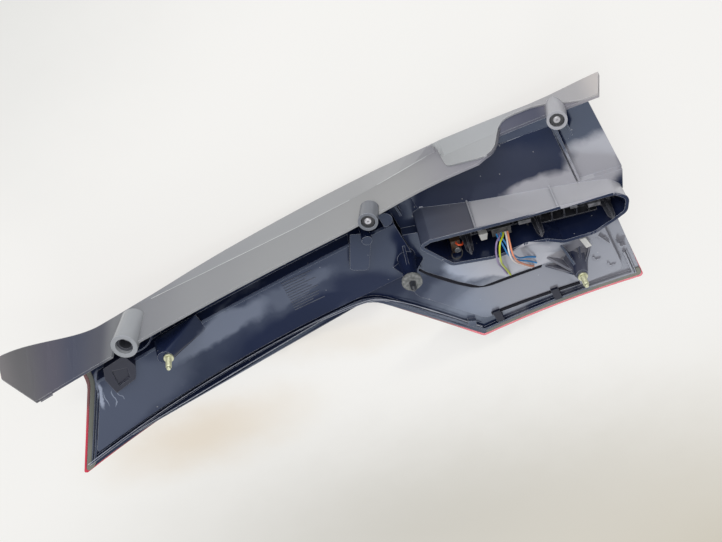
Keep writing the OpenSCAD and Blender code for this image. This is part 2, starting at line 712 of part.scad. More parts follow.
module socket_cap() {
    color("#d5d6d4") translate([socket_at.x - 0.6, socket_at.y - 0.4, -socket_top])
        cylinder(r = 3.2, h = 2, $fn = round_fn);
}

// A wire is a tube along its route; each ring of points stands across the route
function ring_at(way, i, r, up) = let (
        a = way[max(0, i - 1)], b = way[min(len(way) - 1, i + 1)],
        t = unit(b - a),
        s = unit(cross(t, up)),
        u = cross(s, t))
    [for (k = [0:7]) way[i] + r * (cos(45 * k) * s + sin(45 * k) * u)];
function eased(route, i, t) = let (
        p0 = route[max(0, i - 1)], p1 = route[i], p2 = route[i + 1], p3 = route[min(len(route) - 1, i + 2)])
    0.5 * (2 * p1 + (p2 - p0) * t + (2 * p0 - 5 * p1 + 4 * p2 - p3) * t * t
        + (3 * p1 - p0 - 3 * p2 + p3) * t * t * t);

module wire(route, r, up) {
    n = len(route);
    way = concat([for (i = [0:n - 2], t = [0, 1 / 3, 2 / 3]) eased(route, i, t)], [route[n - 1]]);
    loft([for (i = [0:len(way) - 1]) ring_at(way, i, r, up)]);
}

module wire_yellow() {
    color("#c9d21d") wire(route_yellow, wire_r, [1, 0, 0]);
}

module wire_violet() {
    color("#a493b8") wire(route_violet, wire_r, [1, 0, 0]);
}

module wire_white() {
    color("#e9e4e0") wire(route_white, wire_r, [1, 0, 0]);
}

module wire_orange() {
    color("#f08a62") wire(route_orange, wire_r, [1, 0, 0]);
}

module wire_blue_a() {
    color("#3d8fd0") wire(route_blue_a, wire_r, [1, 0, 0]);
}

module wire_blue_b() {
    color("#2f74b5") wire(route_blue_b, wire_r, [1, 0, 0]);
}

module lead_orange() {
    color("#f2552c") wire(route_lead, wire_r, [1, 0, 0]);
}

module lead_loop() {
    color("#2a2526") wire(route_loop, 0.7, [0, 0, 1]);
}

module clip_room(extra) {
    for (x = clip_spots)
        column([[x - 4 - extra, -140], [x + 4 + extra, -140], [x + 4 + extra, -122], [x - 4 - extra, -122]]);
}

// Each clip hooks over the plate's lower edge
module rim_clips() {
    color("#1d2029") above(floor_t) below(plate_rise + 3.5) difference() {
        for (x = clip_spots) column([[x - 4, -139], [x + 4, -139], [x + 4, -124], [x - 4, -124]]);
        below(plate_rise) column(rounded(plate_outline));
    }
}

module perimeter_seal() {
    color("#14161f") intersection() {
        layer_ring(rounded(inset(deck_outline, -2.4)), rounded(inset(deck_outline, -gap)),
            plate_rise, deck_rise - 0.6);
        column([[16, -34], [60, -60], [119, -60], [119, -90], [20, -90], [2, -50]]);
    }
}

module rim_gasket() {
    color("#171a24") difference() {
        layer([[46, -128.4], [146, -130.2], [146, -126.8], [46, -125]], plate_rise, plate_rise + 1.2);
        clip_room(0.3);
    }
}

module white_clip() {
    color("#e4e2dc") layer([[166, -62], [172, -62], [174.5, -75], [168.5, -76]], deck_rise, deck_rise + 4);
}

module pocket_block() {
    color("#1d202e") difference() {
        union() {
            above(arm_rise + 0.08) below(pocket_top)
                column([[from_end(84), 53], [from_end(106), 53], [from_end(114), 66], [from_end(112), 84],
                    [from_end(90), 86], [from_end(84), 74]]);
            above(floor_t) below(arm_rise + 1)
                column([[from_end(84), 72.4], [from_end(113.7), 68.2], [from_end(112), 84],
                    [from_end(90), 86], [from_end(85), 76]]);
        }
        above(pocket_top - 2)
            column([[from_end(90), 58], [from_end(103), 58], [from_end(107), 70], [from_end(94), 78]]);
    }
}

module reflector() {
    inner = inset(lens_outline, lens_t + 1);
    color("#b9bcc0") difference() {
        union() {
            layer(rounded(inner), -reflector_drop, reflector_t - reflector_drop);
            layer_ring(rounded(inner), rounded(inset(inner, reflector_t)), -reflector_drop, 0);
        }
        for (u = bulb_spots) on_carrier() translate([u, bulb_shift, -rim_depth - 40])
            cylinder(r = bulb_base_r + 1, h = 100, $fn = round_fn);
    }
}

module light_guide() {
    color("#dfe3e6") along_belly(-344, -70, [[-reflector_drop - 5, 20], [-reflector_drop, 20],
        [-reflector_drop, 28], [-reflector_drop - 5, 28]]);
}

module led_board() {
    low = reflector_t - reflector_drop;
    color("#2f6b45") along_belly(-334, -90, [[low, 14], [low + 1.6, 14], [low + 1.6, 34], [low, 34]]);
}

module bulbs() {
    color("#e8e6df") for (u = bulb_spots) {
        x = carrier_at.x + u * cos(carrier_turn) - bulb_shift * sin(carrier_turn);
        y = carrier_at.y + u * sin(carrier_turn) + bulb_shift * cos(carrier_turn);
        above(-bulb_drop + 3) below(floor_t) translate([x, y, -rim_depth - 30])
            cylinder(r = bulb_base_r, h = 90, $fn = round_fn);
        translate([x, y, rim_z(x) - bulb_drop]) sphere(r = bulb_r, $fn = round_fn);
    }
}

rear_housing();
side_panel();
side_apron();
outer_lens();
rim_strip();
bush_a();
bush_b();
bush_c();
screw_b();
screw_c();
studs();
centre_pin();
pin_washer();
lamp_carrier();
wire_connector();
small_plug();
bulb_socket();
socket_cap();
wire_yellow();
wire_violet();
wire_white();
wire_orange();
wire_blue_a();
wire_blue_b();
lead_orange();
lead_loop();
rim_clips();
perimeter_seal();
rim_gasket();
white_clip();
pocket_block();
reflector();
light_guide();
led_board();
bulbs();
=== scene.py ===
import json
import math

import bmesh
import bpy
import numpy as np
from mathutils import Matrix, Vector


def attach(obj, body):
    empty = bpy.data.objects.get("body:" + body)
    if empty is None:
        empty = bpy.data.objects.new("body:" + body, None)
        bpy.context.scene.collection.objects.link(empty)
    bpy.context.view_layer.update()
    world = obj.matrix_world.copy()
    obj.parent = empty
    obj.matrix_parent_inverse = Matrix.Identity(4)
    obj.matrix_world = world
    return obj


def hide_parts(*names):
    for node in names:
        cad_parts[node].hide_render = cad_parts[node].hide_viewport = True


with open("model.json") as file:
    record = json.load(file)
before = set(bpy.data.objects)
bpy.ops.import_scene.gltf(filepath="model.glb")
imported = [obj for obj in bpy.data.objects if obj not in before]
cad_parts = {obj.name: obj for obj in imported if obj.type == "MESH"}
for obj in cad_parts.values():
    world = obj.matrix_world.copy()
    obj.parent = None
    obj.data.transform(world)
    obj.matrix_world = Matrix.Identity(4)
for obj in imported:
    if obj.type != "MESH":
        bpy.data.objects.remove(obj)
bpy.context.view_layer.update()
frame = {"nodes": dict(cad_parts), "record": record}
scene = bpy.context.scene
scene.view_settings.view_transform = "Standard"

# Camera
cameraLook = {
    "place": (0.189608, 0.752965, 0.916454),
    "right": (0.88720378, -0.44408949, 0.12511584),
    "up": (0.41958191, 0.66381684, -0.61911083),
    "back": (0.19188661, 0.60177381, 0.77527273),
    "lens": 59.834,
    "sensor": 36.0,
    "nearest": 0.02,
    "farthest": 30.0,
}


def makeCamera():  # its matrix has its right, up and back directions and its place as columns
    data = bpy.data.cameras.new("camera")
    data.lens = cameraLook["lens"]
    data.sensor_width = cameraLook["sensor"]
    data.clip_start = cameraLook["nearest"]
    data.clip_end = cameraLook["farthest"]
    camera = bpy.data.objects.new("camera", data)
    columns = [cameraLook[k] for k in ("right", "up", "back", "place")]
    camera.matrix_world = Matrix([[c[i] for c in columns] for i in range(3)] + [[0, 0, 0, 1]])
    scene.collection.objects.link(camera)
    scene.camera = camera


makeCamera()
print("camera ready")

# Meshes
longCurve = {"radius": 0.9, "rim": -0.06}  # the curve that the whole lamp follows, and the level of its rim
tubeHint = (0.31, 0.2, 0.93)  # a direction that no path follows, for a tube's circles to start from
sameSpot = 2e-6  # points nearer than this are one point in a merged copy


def levelZ(x, h):  # height h above the rim: on a circle about the long curve's centre, h nearer to it
    radius = longCurve["radius"]
    return radius + longCurve["rim"] - np.sqrt((radius - h) ** 2 - np.square(x))


def readPoints(mesh):  # its points as rows of x, y and z
    points = np.empty(len(mesh.vertices) * 3)
    mesh.vertices.foreach_get("co", points)
    return points.reshape(-1, 3)


def writePoints(mesh, points):  # the other way round
    mesh.vertices.foreach_set("co", points.ravel())
    mesh.update()


def smoothAll(mesh):
    mesh.polygons.foreach_set("use_smooth", np.full(len(mesh.polygons), True))
    mesh.update()


def addMesh(name, points, faces):  # a new object at the origin, with its place in its mesh
    mesh = bpy.data.meshes.new(name)
    corners = [list(map(int, face)) for face in faces]
    mesh.from_pydata(np.asarray(points, float).reshape(-1, 3).tolist(), [], corners)
    mesh.validate()
    smoothAll(mesh)
    piece = bpy.data.objects.new(name, mesh)
    scene.collection.objects.link(piece)
    return piece


def gridFaces(rows, columns):  # quads between neighbouring rows, and round each row to its start
    i, j = np.meshgrid(np.arange(rows - 1), np.arange(columns), indexing="ij")
    k = (j + 1) % columns
    below, above = i * columns, (i + 1) * columns
    return np.stack([below + j, below + k, above + k, above + j], -1).reshape(-1, 4).tolist()


def tubeGrid(path, radii, sides):  # a circle carried along the path, square to it
    path = np.asarray(path, float)
    ahead = np.gradient(path, axis=0)
    ahead /= np.linalg.norm(ahead, axis=1)[:, None]
    sideways = np.cross(ahead, tubeHint)
    sideways /= np.linalg.norm(sideways, axis=1)[:, None]
    upward = np.cross(sideways, ahead)
    angle = np.linspace(0, 2 * np.pi, sides, endpoint=False)
    radii = np.broadcast_to(radii, len(path))
    across, up = np.cos(angle)[None, :, None], np.sin(angle)[None, :, None]
    ring = across * sideways[:, None] + up * upward[:, None]
    return path[:, None] + radii[:, None, None] * ring


def tubeParts(path, radii, sides):  # points and faces of a tube along the path, closed at both ends
    grid = tubeGrid(path, radii, sides)
    last = (len(grid) - 1) * sides
    caps = [list(range(sides))[::-1], list(range(last, last + sides))]
    return grid.reshape(-1, 3), gridFaces(len(grid), sides) + caps


def easedPath(points, steps):  # cubics through the points, each slope half the way between its neighbours
    p = np.asarray(points, float)
    p = np.vstack([p[:1], p, p[-1:]])
    t = np.linspace(0, 1, steps, endpoint=False)[None, :, None]
    a, b, c, d = (p[k:len(p) - 3 + k, None] for k in range(4))
    second, third = 2 * a - 5 * b + 4 * c - d, 3 * b - a - 3 * c + d
    curve = 0.5 * (2 * b + (c - a) * t + second * t ** 2 + third * t ** 3)
    return np.vstack([curve.reshape(-1, 3), p[-1:]])


def lathe(profile, at, sides):  # points and faces of (radius, height) pairs turned round an upright axis
    profile = np.asarray(profile, float)
    angle = np.linspace(0, 2 * np.pi, sides, endpoint=False)
    points = np.stack([at[0] + profile[:, :1] * np.cos(angle), at[1] + profile[:, :1] * np.sin(angle),
                       at[2] + np.repeat(profile[:, 1:], sides, 1)], -1).reshape(-1, 3)
    return points, gridFaces(len(profile), sides)


def block(low, high, at, turn):  # points and faces of a box, turned about an upright axis
    x, y, z = np.meshgrid(*zip(low, high), indexing="ij")
    c, d = math.cos(math.radians(turn)), math.sin(math.radians(turn))
    x, y, z = x.ravel(), y.ravel(), z.ravel()
    points = np.stack([at[0] + c * x - d * y, at[1] + d * x + c * y, at[2] + z], -1)
    return points, [(0, 1, 3, 2), (4, 6, 7, 5), (0, 4, 5, 1), (2, 3, 7, 6), (0, 2, 6, 4), (1, 5, 7, 3)]


def joined(name, parts, angle=30):  # one piece of several parts, whose edges above the angle are sharp
    points, faces, start = [], [], 0
    for some, corners in parts:
        points.append(some)
        faces += [[start + k for k in face] for face in corners]
        start += len(some)
    piece = addMesh(name, np.vstack(points), faces)
    piece.data.set_sharp_from_angle(angle=math.radians(angle))
    return piece


def finishPiece(piece, like, *nodes, look=None):  # slot and finish like a node's, and the nodes it stands for
    slot = slotOf[like]
    piece.data.materials.clear()
    piece.data.materials.append(materials[look or slot])
    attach(piece, "root")
    if nodes:
        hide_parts(*nodes)


# The side wall's own curves, in metres, the same as in the part's source
wallCurve = {
    "off": 0.082, "middle": -0.016, "bendLeft": 3.8, "bendRight": 7.5,
    "slant": 0.5, "slantEnd": -0.3, "slantRun": 0.09, "height": 0.043,
    "lean": 0.5, "leanStart": 0.19, "leanRun": 0.05, "leanLevel": 0.003,
    "longestStep": 0.006, "mostRounds": 5,
}


def eased(t):  # 0 up to 0, 1 from 1 on, and three squares less two cubes between
    t = np.clip(t, 0, 1)
    return t * t * (3 - 2 * t)


def sidePlace(x):  # y of the wall's outer face: its offset plus (x from its middle) squared over its bend
    bend = np.where(x < wallCurve["middle"], wallCurve["bendLeft"], wallCurve["bendRight"])
    return wallCurve["off"] + np.square(x - wallCurve["middle"]) / bend


def wallSlant(x):  # how far the wall slants outwards per height, eased in towards the narrow end
    return wallCurve["slant"] * eased((wallCurve["slantEnd"] - x) / wallCurve["slantRun"])


def endLean(x):  # how far the wall's wide end leans along it per height
    return wallCurve["lean"] * eased((x - wallCurve["leanStart"]) / wallCurve["leanRun"])


def wallPoint(x, h, back):  # a point of the wall: along it, above the rim, behind its outer face
    return np.stack([x + endLean(x) * (wallCurve["leanLevel"] - h),
                     sidePlace(x) + wallSlant(x) * (wallCurve["height"] - h) - back, levelZ(x, 0) + h], -1)


def wallPlace(points):  # the other way round, by a few rounds of correction
    x = points[:, 0].copy()
    for _ in range(12):
        h = points[:, 2] - levelZ(x, 0)
        x = points[:, 0] - endLean(x) * (wallCurve["leanLevel"] - h)
    return x, h, sidePlace(x) + wallSlant(x) * (wallCurve["height"] - h) - points[:, 1]


def movePoints(shape, places):
    for vertex, place in zip(shape.verts, places):
        vertex.co = place


def refineWall(mesh):  # long edges along the wall cut in half, with each new point on the wall's own curve
    x, h, back = wallPlace(readPoints(mesh))
    shape = bmesh.new()
    shape.from_mesh(mesh)
    movePoints(shape, np.stack([x, back, h], -1))
    for _ in range(wallCurve["mostRounds"]):
        ends = ((edge, edge.verts[0].co.x - edge.verts[1].co.x) for edge in shape.edges)
        long = [edge for edge, reach in ends if abs(reach) > wallCurve["longestStep"]]
        if not long:
            break
        bmesh.ops.subdivide_edges(shape, edges=long, cuts=1)
        bmesh.ops.triangulate(shape, faces=shape.faces[:])
    x, back, h = np.array([vertex.co[:] for vertex in shape.verts]).T
    movePoints(shape, wallPoint(x, h, back))
    shape.to_mesh(mesh)
    shape.free()
    smoothAll(mesh)


def mergedCopy(name, node, angle):  # the node's mesh, its triangles joined and its soft edges smoothed
    source = frame["nodes"][node].data
    points = readPoints(source)
    corners = np.empty(len(source.loops), int)
    source.loops.foreach_get("vertex_index", corners)
    unique, back = np.unique(np.round(points / sameSpot).astype(np.int64), axis=0, return_inverse=True)
    first = np.zeros(len(unique), int)
    first[back.ravel()] = np.arange(len(points))
    a, b, c = back.ravel()[corners].reshape(-1, 3).T
    whole = (a != b) & (b != c) & (a != c)
    piece = addMesh(name, points[first], np.stack([a, b, c], -1)[whole])
    if node in ("side_panel", "side_apron"):
        refineWall(piece.data)
    piece.data.set_sharp_from_angle(angle=math.radians(angle))
    return piece


# The housing's collar and sleeves, and how much painted sheen each of its faces gets
collarOutline = np.array([
    (44, -1), (88, -17), (118, -17), (138, -24), (152, -35), (183, -41), (206, -36), (220, -32), (227, -17),
    (217, -5), (164, 8), (105, 22), (37, 39), (24, 37)]) / 1000
sleeveAxes = [  # top of each sleeve, its radius, how much painted sheen it gets
    (-0.272, 0.101, 0.024, 0.0134, 0.9), (-0.0065, 0.0858, -0.008, 0.0098, 0.45),
    (0.196, 0.091, -0.016, 0.0098, 0.78)]
sleeveLean = {"along": 8, "across": 10, "room": 0.0006, "above": 0.004}  # degrees, and metres round a sleeve
# painted sheen on the collar's outer wall: its least, and how it rises towards the wide end
collarPaintedSheen = {
    "shrink": 0.0008, "reach": 0.004, "steepest": 0.6, "foot": 0.005, "facing": 0.2,
    "least": 0.1,
    "rises": [(0.09, 0.03, 0.02), (0.71, 0.066, 0.026)],  # painted sheen rising along the collar's outer wall: by how much, from which x, over how far
}
# less painted sheen on the right stud's bracket, so that it shows darker
bracketPaintedSheen = {"x": (0.126, 0.176), "y": (-0.108, -0.05), "foot": 0.0165, "value": -0.42}
arcEnds = {
    "above": 0.0005,
    "ends": [  # centre x, y, radius from, radius to, height, the y that they stop at
        (-0.00302, 0.08146, 0.0131, 0.0152, 0.0203, 0.0785),
        (-0.2656, 0.093, 0.0158, 0.0177, 0.0263, 0.0915)],
}


def insideOutline(x, y, outline, shrink):  # which points lie in the outline, farther from it than shrink
    inside, near = np.zeros(len(x), bool), np.full(len(x), 9.0)
    for (ax, ay), (bx, by) in zip(outline, np.roll(outline, -1, 0)):
        crosses = (ay > y) != (by > y)
        inside ^= crosses & (x < (bx - ax) * (y - ay) / (by - ay if by != ay else 1e-9) + ax)
        t = np.clip(((x - ax) * (bx - ax) + (y - ay) * (by - ay)) / ((bx - ax) ** 2 + (by - ay) ** 2), 0, 1)
        near = np.minimum(near, np.hypot(x - ax - t * (bx - ax), y - ay - t * (by - ay)))
    return inside & (near > shrink), near


def trimArcs(mesh):  # the half-round walls round two sleeves end short of the side wall
    points = readPoints(mesh)
    height = points[:, 2] - levelZ(points[:, 0], 0)
    for x, y, low, high, top, limit in arcEnds["ends"]:
        reach = np.hypot(points[:, 0] - x, points[:, 1] - y)
        ends = (reach > low) & (reach < high) & (height > arcEnds["above"]) & (height < top)
        points[ends & (points[:, 1] > limit), 1] = limit
    writePoints(mesh, points)


def markPaintedSheen(mesh):  # painted sheen per face: -1 inside the collar, where it clears the painted reflections, above 0 on its outer wall and on the sleeves, below 0 on the bracket
    faces = mesh.polygons
    centre, normal = np.empty(len(faces) * 3), np.empty(len(faces) * 3)
    faces.foreach_get("center", centre)
    faces.foreach_get("normal", normal)
    x, y, z = centre.reshape(-1, 3).T
    n = normal.reshape(-1, 3)
    height = z - levelZ(x, 0)
    inside, near = insideOutline(x, y, collarOutline, collarPaintedSheen["shrink"])
    sheen = np.where(inside, -1.0, 0.0)
    upright = (np.abs(n[:, 2]) < collarPaintedSheen["steepest"]) & (n[:, 1] > collarPaintedSheen["facing"])
    outerWall = ~inside & (near < collarPaintedSheen["reach"]) & upright & (height > collarPaintedSheen["foot"])
    sheen[outerWall] = collarPaintedSheen["least"]
    for share, start, run in collarPaintedSheen["rises"]:
        sheen[outerWall] += share * eased((x[outerWall] - start) / run)
    along, across = (math.tan(math.radians(sleeveLean[k])) for k in ("along", "across"))
    for sx, sy, sz, radius, pale in sleeveAxes:
        down = sz - z
        ax, ay = sx + down * along, sy - down * across
        reach = np.hypot(x - ax, y - ay)
        sheen[(reach < radius + sleeveLean["room"]) & (down > -sleeveLean["above"])] = pale
    (left, right), (low, high) = bracketPaintedSheen["x"], bracketPaintedSheen["y"]
    bracket = (x > left) & (x < right) & (y > low) & (y < high) & (height > bracketPaintedSheen["foot"])
    sheen[bracket] = bracketPaintedSheen["value"]
    attribute = mesh.attributes.new("sheen", "FLOAT", "FACE")
    attribute.data.foreach_set("value", sheen)


# Shared effects
surfaceLook = {"bevelSamples": 6, "edgeGain": 3.0, "speckScale": 75.0, "speckSize": 0.045}
spotLook = {
    "core": 0.55,  # part of a spot's reach where it is full
    "tall": 1000.0,  # a spot's reach along z, where it has no end
    "detail": 2.0,
    "bends": [(22.0, 0.035), (120.0, 0.006)],  # scale of each noise, and how far it bends a spot's edge
}


def newGroup(name, inputs, outputs):  # an empty node group, with its start and its end
    group = bpy.data.node_groups.new(name, "ShaderNodeTree")
    for label, kind, value in inputs:
        socket = group.interface.new_socket(label, in_out="INPUT", socket_type=kind)
        socket.default_value = value
    for label, kind in outputs:
        group.interface.new_socket(label, in_out="OUTPUT", socket_type=kind)
    nodes = group.nodes
    return group, nodes.new("NodeGroupInput"), nodes.new("NodeGroupOutput")


def join(tree, *pairs):  # a link from the first socket of each pair to its second
    for a, b in pairs:
        tree.links.new(a, b)


def mathNode(tree, operation, a, b, clamp=False):  # a and b are numbers or sockets, and so is what comes out
    node = tree.nodes.new("ShaderNodeMath")
    node.operation = operation
    node.use_clamp = clamp
    for socket, value in zip(node.inputs, (a, b)):
        if isinstance(value, (int, float)):
            socket.default_value = value
        else:
            tree.links.new(value, socket)
    return node.outputs[0]


def vectorNode(tree, operation):
    node = tree.nodes.new("ShaderNodeVectorMath")
    node.operation = operation
    return node


def makeSurfaceGroup():  # one normal from rounded edges, waves and fine grain, and masks of edges and specks
    group, start, end = newGroup("mouldedSurface", [
        ("Edge Radius", "NodeSocketFloat", 0.0006), ("Grain Scale", "NodeSocketFloat", 900.0),
        ("Grain Depth", "NodeSocketFloat", 0.00001), ("Wave Scale", "NodeSocketFloat", 18.0),
        ("Wave Depth", "NodeSocketFloat", 0.0002), ("Blotch Scale", "NodeSocketFloat", 9.0)],
        [("Normal", "NodeSocketVector"), ("Edge", "NodeSocketFloat"), ("Blotch", "NodeSocketFloat"),
         ("Speck", "NodeSocketFloat")])
    n = group.nodes
    place = n.new("ShaderNodeTexCoord")
    geometry = n.new("ShaderNodeNewGeometry")
    bevel = n.new("ShaderNodeBevel")
    bevel.samples = surfaceLook["bevelSamples"]
    join(group, (start.outputs["Edge Radius"], bevel.inputs["Radius"]))
    dot = vectorNode(group, "DOT_PRODUCT")
    join(group, (bevel.outputs[0], dot.inputs[0]), (geometry.outputs["Normal"], dot.inputs[1]))
    turned = mathNode(group, "SUBTRACT", 1.0, dot.outputs["Value"])
    edge = mathNode(group, "MULTIPLY", turned, surfaceLook["edgeGain"], True)
    noises = {}
    for key, scale, detail, rough in (("grain", "Grain Scale", 2.0, 0.5), ("wave", "Wave Scale", 1.0, 0.4),
                                      ("blotch", "Blotch Scale", 2.0, 0.5)):
        noise = n.new("ShaderNodeTexNoise")
        noise.inputs["Detail"].default_value = detail
        noise.inputs["Roughness"].default_value = rough
        join(group, (place.outputs["Object"], noise.inputs["Vector"]),
             (start.outputs[scale], noise.inputs["Scale"]))
        noises[key] = noise.outputs["Fac"]
    waveBump = n.new("ShaderNodeBump")
    grainBump = n.new("ShaderNodeBump")
    for bump, height, depth in ((waveBump, "wave", "Wave Depth"), (grainBump, "grain", "Grain Depth")):
        bump.inputs["Strength"].default_value = 1.0
        join(group, (noises[height], bump.inputs["Height"]), (start.outputs[depth], bump.inputs["Distance"]))
    join(group, (bevel.outputs[0], waveBump.inputs["Normal"]),
         (waveBump.outputs[0], grainBump.inputs["Normal"]), (grainBump.outputs[0], end.inputs["Normal"]),
         (edge, end.inputs["Edge"]), (noises["blotch"], end.inputs["Blotch"]))
    specks = n.new("ShaderNodeTexVoronoi")
    specks.inputs["Scale"].default_value = surfaceLook["speckScale"]
    join(group, (place.outputs["Object"], specks.inputs["Vector"]))
    speck = mathNode(group, "LESS_THAN", specks.outputs["Distance"], surfaceLook["speckSize"])
    join(group, (speck, end.inputs["Speck"]))
    return group


def makeSpotGroup():  # an oval spot as a mask over the part's plan, full in its core and fading to its edge
    group, start, end = newGroup("hazeSpot", [
        ("Vector", "NodeSocketVector", (0.0, 0.0, 0.0)), ("Centre", "NodeSocketVector", (0.0, 0.0, 0.0)),
        ("Turn", "NodeSocketVector", (0.0, 0.0, 0.0)), ("Size", "NodeSocketVector", (1.0, 1.0, 1.0)),
        ("Strength", "NodeSocketFloat", 1.0), ("Core", "NodeSocketFloat", spotLook["core"])],
        [("Mask", "NodeSocketFloat")])
    local = group.nodes.new("ShaderNodeMapping")
    local.vector_type = "TEXTURE"
    length = vectorNode(group, "LENGTH")
    fade = group.nodes.new("ShaderNodeMapRange")
    fade.interpolation_type = "SMOOTHSTEP"
    fade.inputs["From Min"].default_value = 1.0
    join(group, (start.outputs["Core"], fade.inputs["From Max"]))
    sockets = (("Vector", "Vector"), ("Centre", "Location"), ("Turn", "Rotation"), ("Size", "Scale"))
    join(group, *((start.outputs[label], local.inputs[socket]) for label, socket in sockets))
    join(group, (local.outputs[0], length.inputs[0]), (length.outputs["Value"], fade.inputs["Value"]),
         (mathNode(group, "MULTIPLY", fade.outputs[0], start.outputs["Strength"]), end.inputs["Mask"]))
    return group


surfaceGroup = makeSurfaceGroup()
spotGroup = makeSpotGroup()


def ramp(tree, value, stops):  # a colour by the value, eased between stops of (position, colour)
    node = tree.nodes.new("ShaderNodeValToRGB")
    node.color_ramp.interpolation = "EASE"
    elements = node.color_ramp.elements
    while len(elements) < len(stops):
        elements.new(0.5)
    for element, (position, colour) in zip(elements, stops):
        element.position = position
        element.color = (*colour, 1.0)
    tree.links.new(value, node.inputs["Fac"])
    return node.outputs["Color"]


def mixColour(tree, factor, a, b):  # a at factor 0, b at factor 1, and their blend between
    node = tree.nodes.new("ShaderNodeMix")
    node.data_type = "RGBA"
    for socket, value in ((node.inputs["Factor"], factor), (node.inputs["A"], a), (node.inputs["B"], b)):
        if isinstance(value, (int, float)):
            socket.default_value = value
        elif isinstance(value, tuple):
            socket.default_value = (*value, 1.0)
        else:
            tree.links.new(value, socket)
    return node.outputs["Result"]


# its spots place painted reflections on the housing, painted lit tops on the lens and painted glow and shade
# on the paper, and also dull spots and the share of the floor's own shadow
def spotMask(tree, spots, core=spotLook["core"]):  # the largest of the spots, at places bent by two noises
    place = tree.nodes.new("ShaderNodeTexCoord").outputs["Object"]
    for scale, reach in spotLook["bends"]:
        noise = tree.nodes.new("ShaderNodeTexNoise")
        noise.inputs["Scale"].default_value = scale
        noise.inputs["Detail"].default_value = spotLook["detail"]
        bend = vectorNode(tree, "MULTIPLY_ADD")
        bend.inputs[1].default_value = (reach, reach, 0.0)
        centred = vectorNode(tree, "SUBTRACT")
        centred.inputs[1].default_value = (0.5, 0.5, 0.5)
        join(tree, (place, noise.inputs["Vector"]), (noise.outputs["Color"], centred.inputs[0]),
             (centred.outputs[0], bend.inputs[0]), (place, bend.inputs[2]))
        place = bend.outputs[0]
    mask = None
    for x, y, long, short, turn, strength in spots:
        spot = tree.nodes.new("ShaderNodeGroup")
        spot.node_tree = spotGroup
        spot.inputs["Centre"].default_value = (x, y, 0.0)
        spot.inputs["Turn"].default_value = (0.0, 0.0, math.radians(turn))
        spot.inputs["Size"].default_value = (long, short, spotLook["tall"])
        spot.inputs["Strength"].default_value = strength
        spot.inputs["Core"].default_value = core
        join(tree, (place, spot.inputs["Vector"]))
        mask = spot.outputs[0] if mask is None else mathNode(tree, "MAXIMUM", mask, spot.outputs[0])
    return mask


def splitPlace(tree, vector):  # its x, y and z
    split = tree.nodes.new("ShaderNodeSeparateXYZ")
    join(tree, (vector, split.inputs[0]))
    return split.outputs


def alongRamp(tree, stops):  # colours at places along the lamp, blended between them
    place = tree.nodes.new("ShaderNodeTexCoord")
    spread = tree.nodes.new("ShaderNodeMapRange")
    first, last = stops[0][0], stops[-1][0]
    spread.inputs["From Min"].default_value = first
    spread.inputs["From Max"].default_value = last
    join(tree, (splitPlace(tree, place.outputs["Object"])["X"], spread.inputs["Value"]))
    return ramp(tree, spread.outputs[0], [((x - first) / (last - first), colour) for x, colour in stops])


# Finishes
plainLook = {"metal": 0.0, "specular": 0.5, "wear": 0.3, "dust": 0.0}  # where a look says nothing else
finishRange = {
    "blotch": (0.38, 0.62),  # noise at a look's first and second colour
    "rough": (0.35, 0.65),  # noise at its least and most roughness
    "upward": 0.35,  # least upward part of the normal where the painted lit top shows
    "paleSheen": 0.2,  # painted sheen above which paleAlong takes over from hazeAlong
    "dullDepth": 0.42,  # how much less shine the middle of a dull spot has
    "dustColour": (0.5, 0.5, 0.5), "ior": 1.5, "coatRoughness": 0.08,
}
surfaceInputs = {"edge": "Edge Radius", "grainScale": "Grain Scale", "grainDepth": "Grain Depth",
                 "waveScale": "Wave Scale", "waveDepth": "Wave Depth", "blotchScale": "Blotch Scale"}


def paintedLitMask(tree, look):  # 1 where the surface looks up, at the places of the look's painted lit top
    geometry = tree.nodes.new("ShaderNodeNewGeometry")
    height = splitPlace(tree, geometry.outputs["Normal"])["Z"]
    upward = mathNode(tree, "GREATER_THAN", height, finishRange["upward"])
    return mathNode(tree, "MULTIPLY", upward, spotMask(tree, look["topPlaces"]))


def paintedReflectionColour(tree, look, colour, shader):  # painted reflections and painted sheen over the colour, less shine in dull spots
    sheen = tree.nodes.new("ShaderNodeAttribute")
    sheen.attribute_name = "sheen"
    mask = mathNode(tree, "ADD", spotMask(tree, look["haze"]), sheen.outputs["Fac"], True)
    strong = mathNode(tree, "GREATER_THAN", sheen.outputs["Fac"], finishRange["paleSheen"])
    pale = mixColour(tree, strong, alongRamp(tree, look["hazeAlong"]), alongRamp(tree, look["paleAlong"]))
    loss = mathNode(tree, "MULTIPLY", spotMask(tree, look["dull"]), finishRange["dullDepth"])
    join(tree, (mathNode(tree, "SUBTRACT", look["specular"], loss), shader.inputs["Specular IOR Level"]))
    shader.inputs["Specular Tint"].default_value = (*look["specularTint"], 1.0)
    return mixColour(tree, mask, colour, pale)


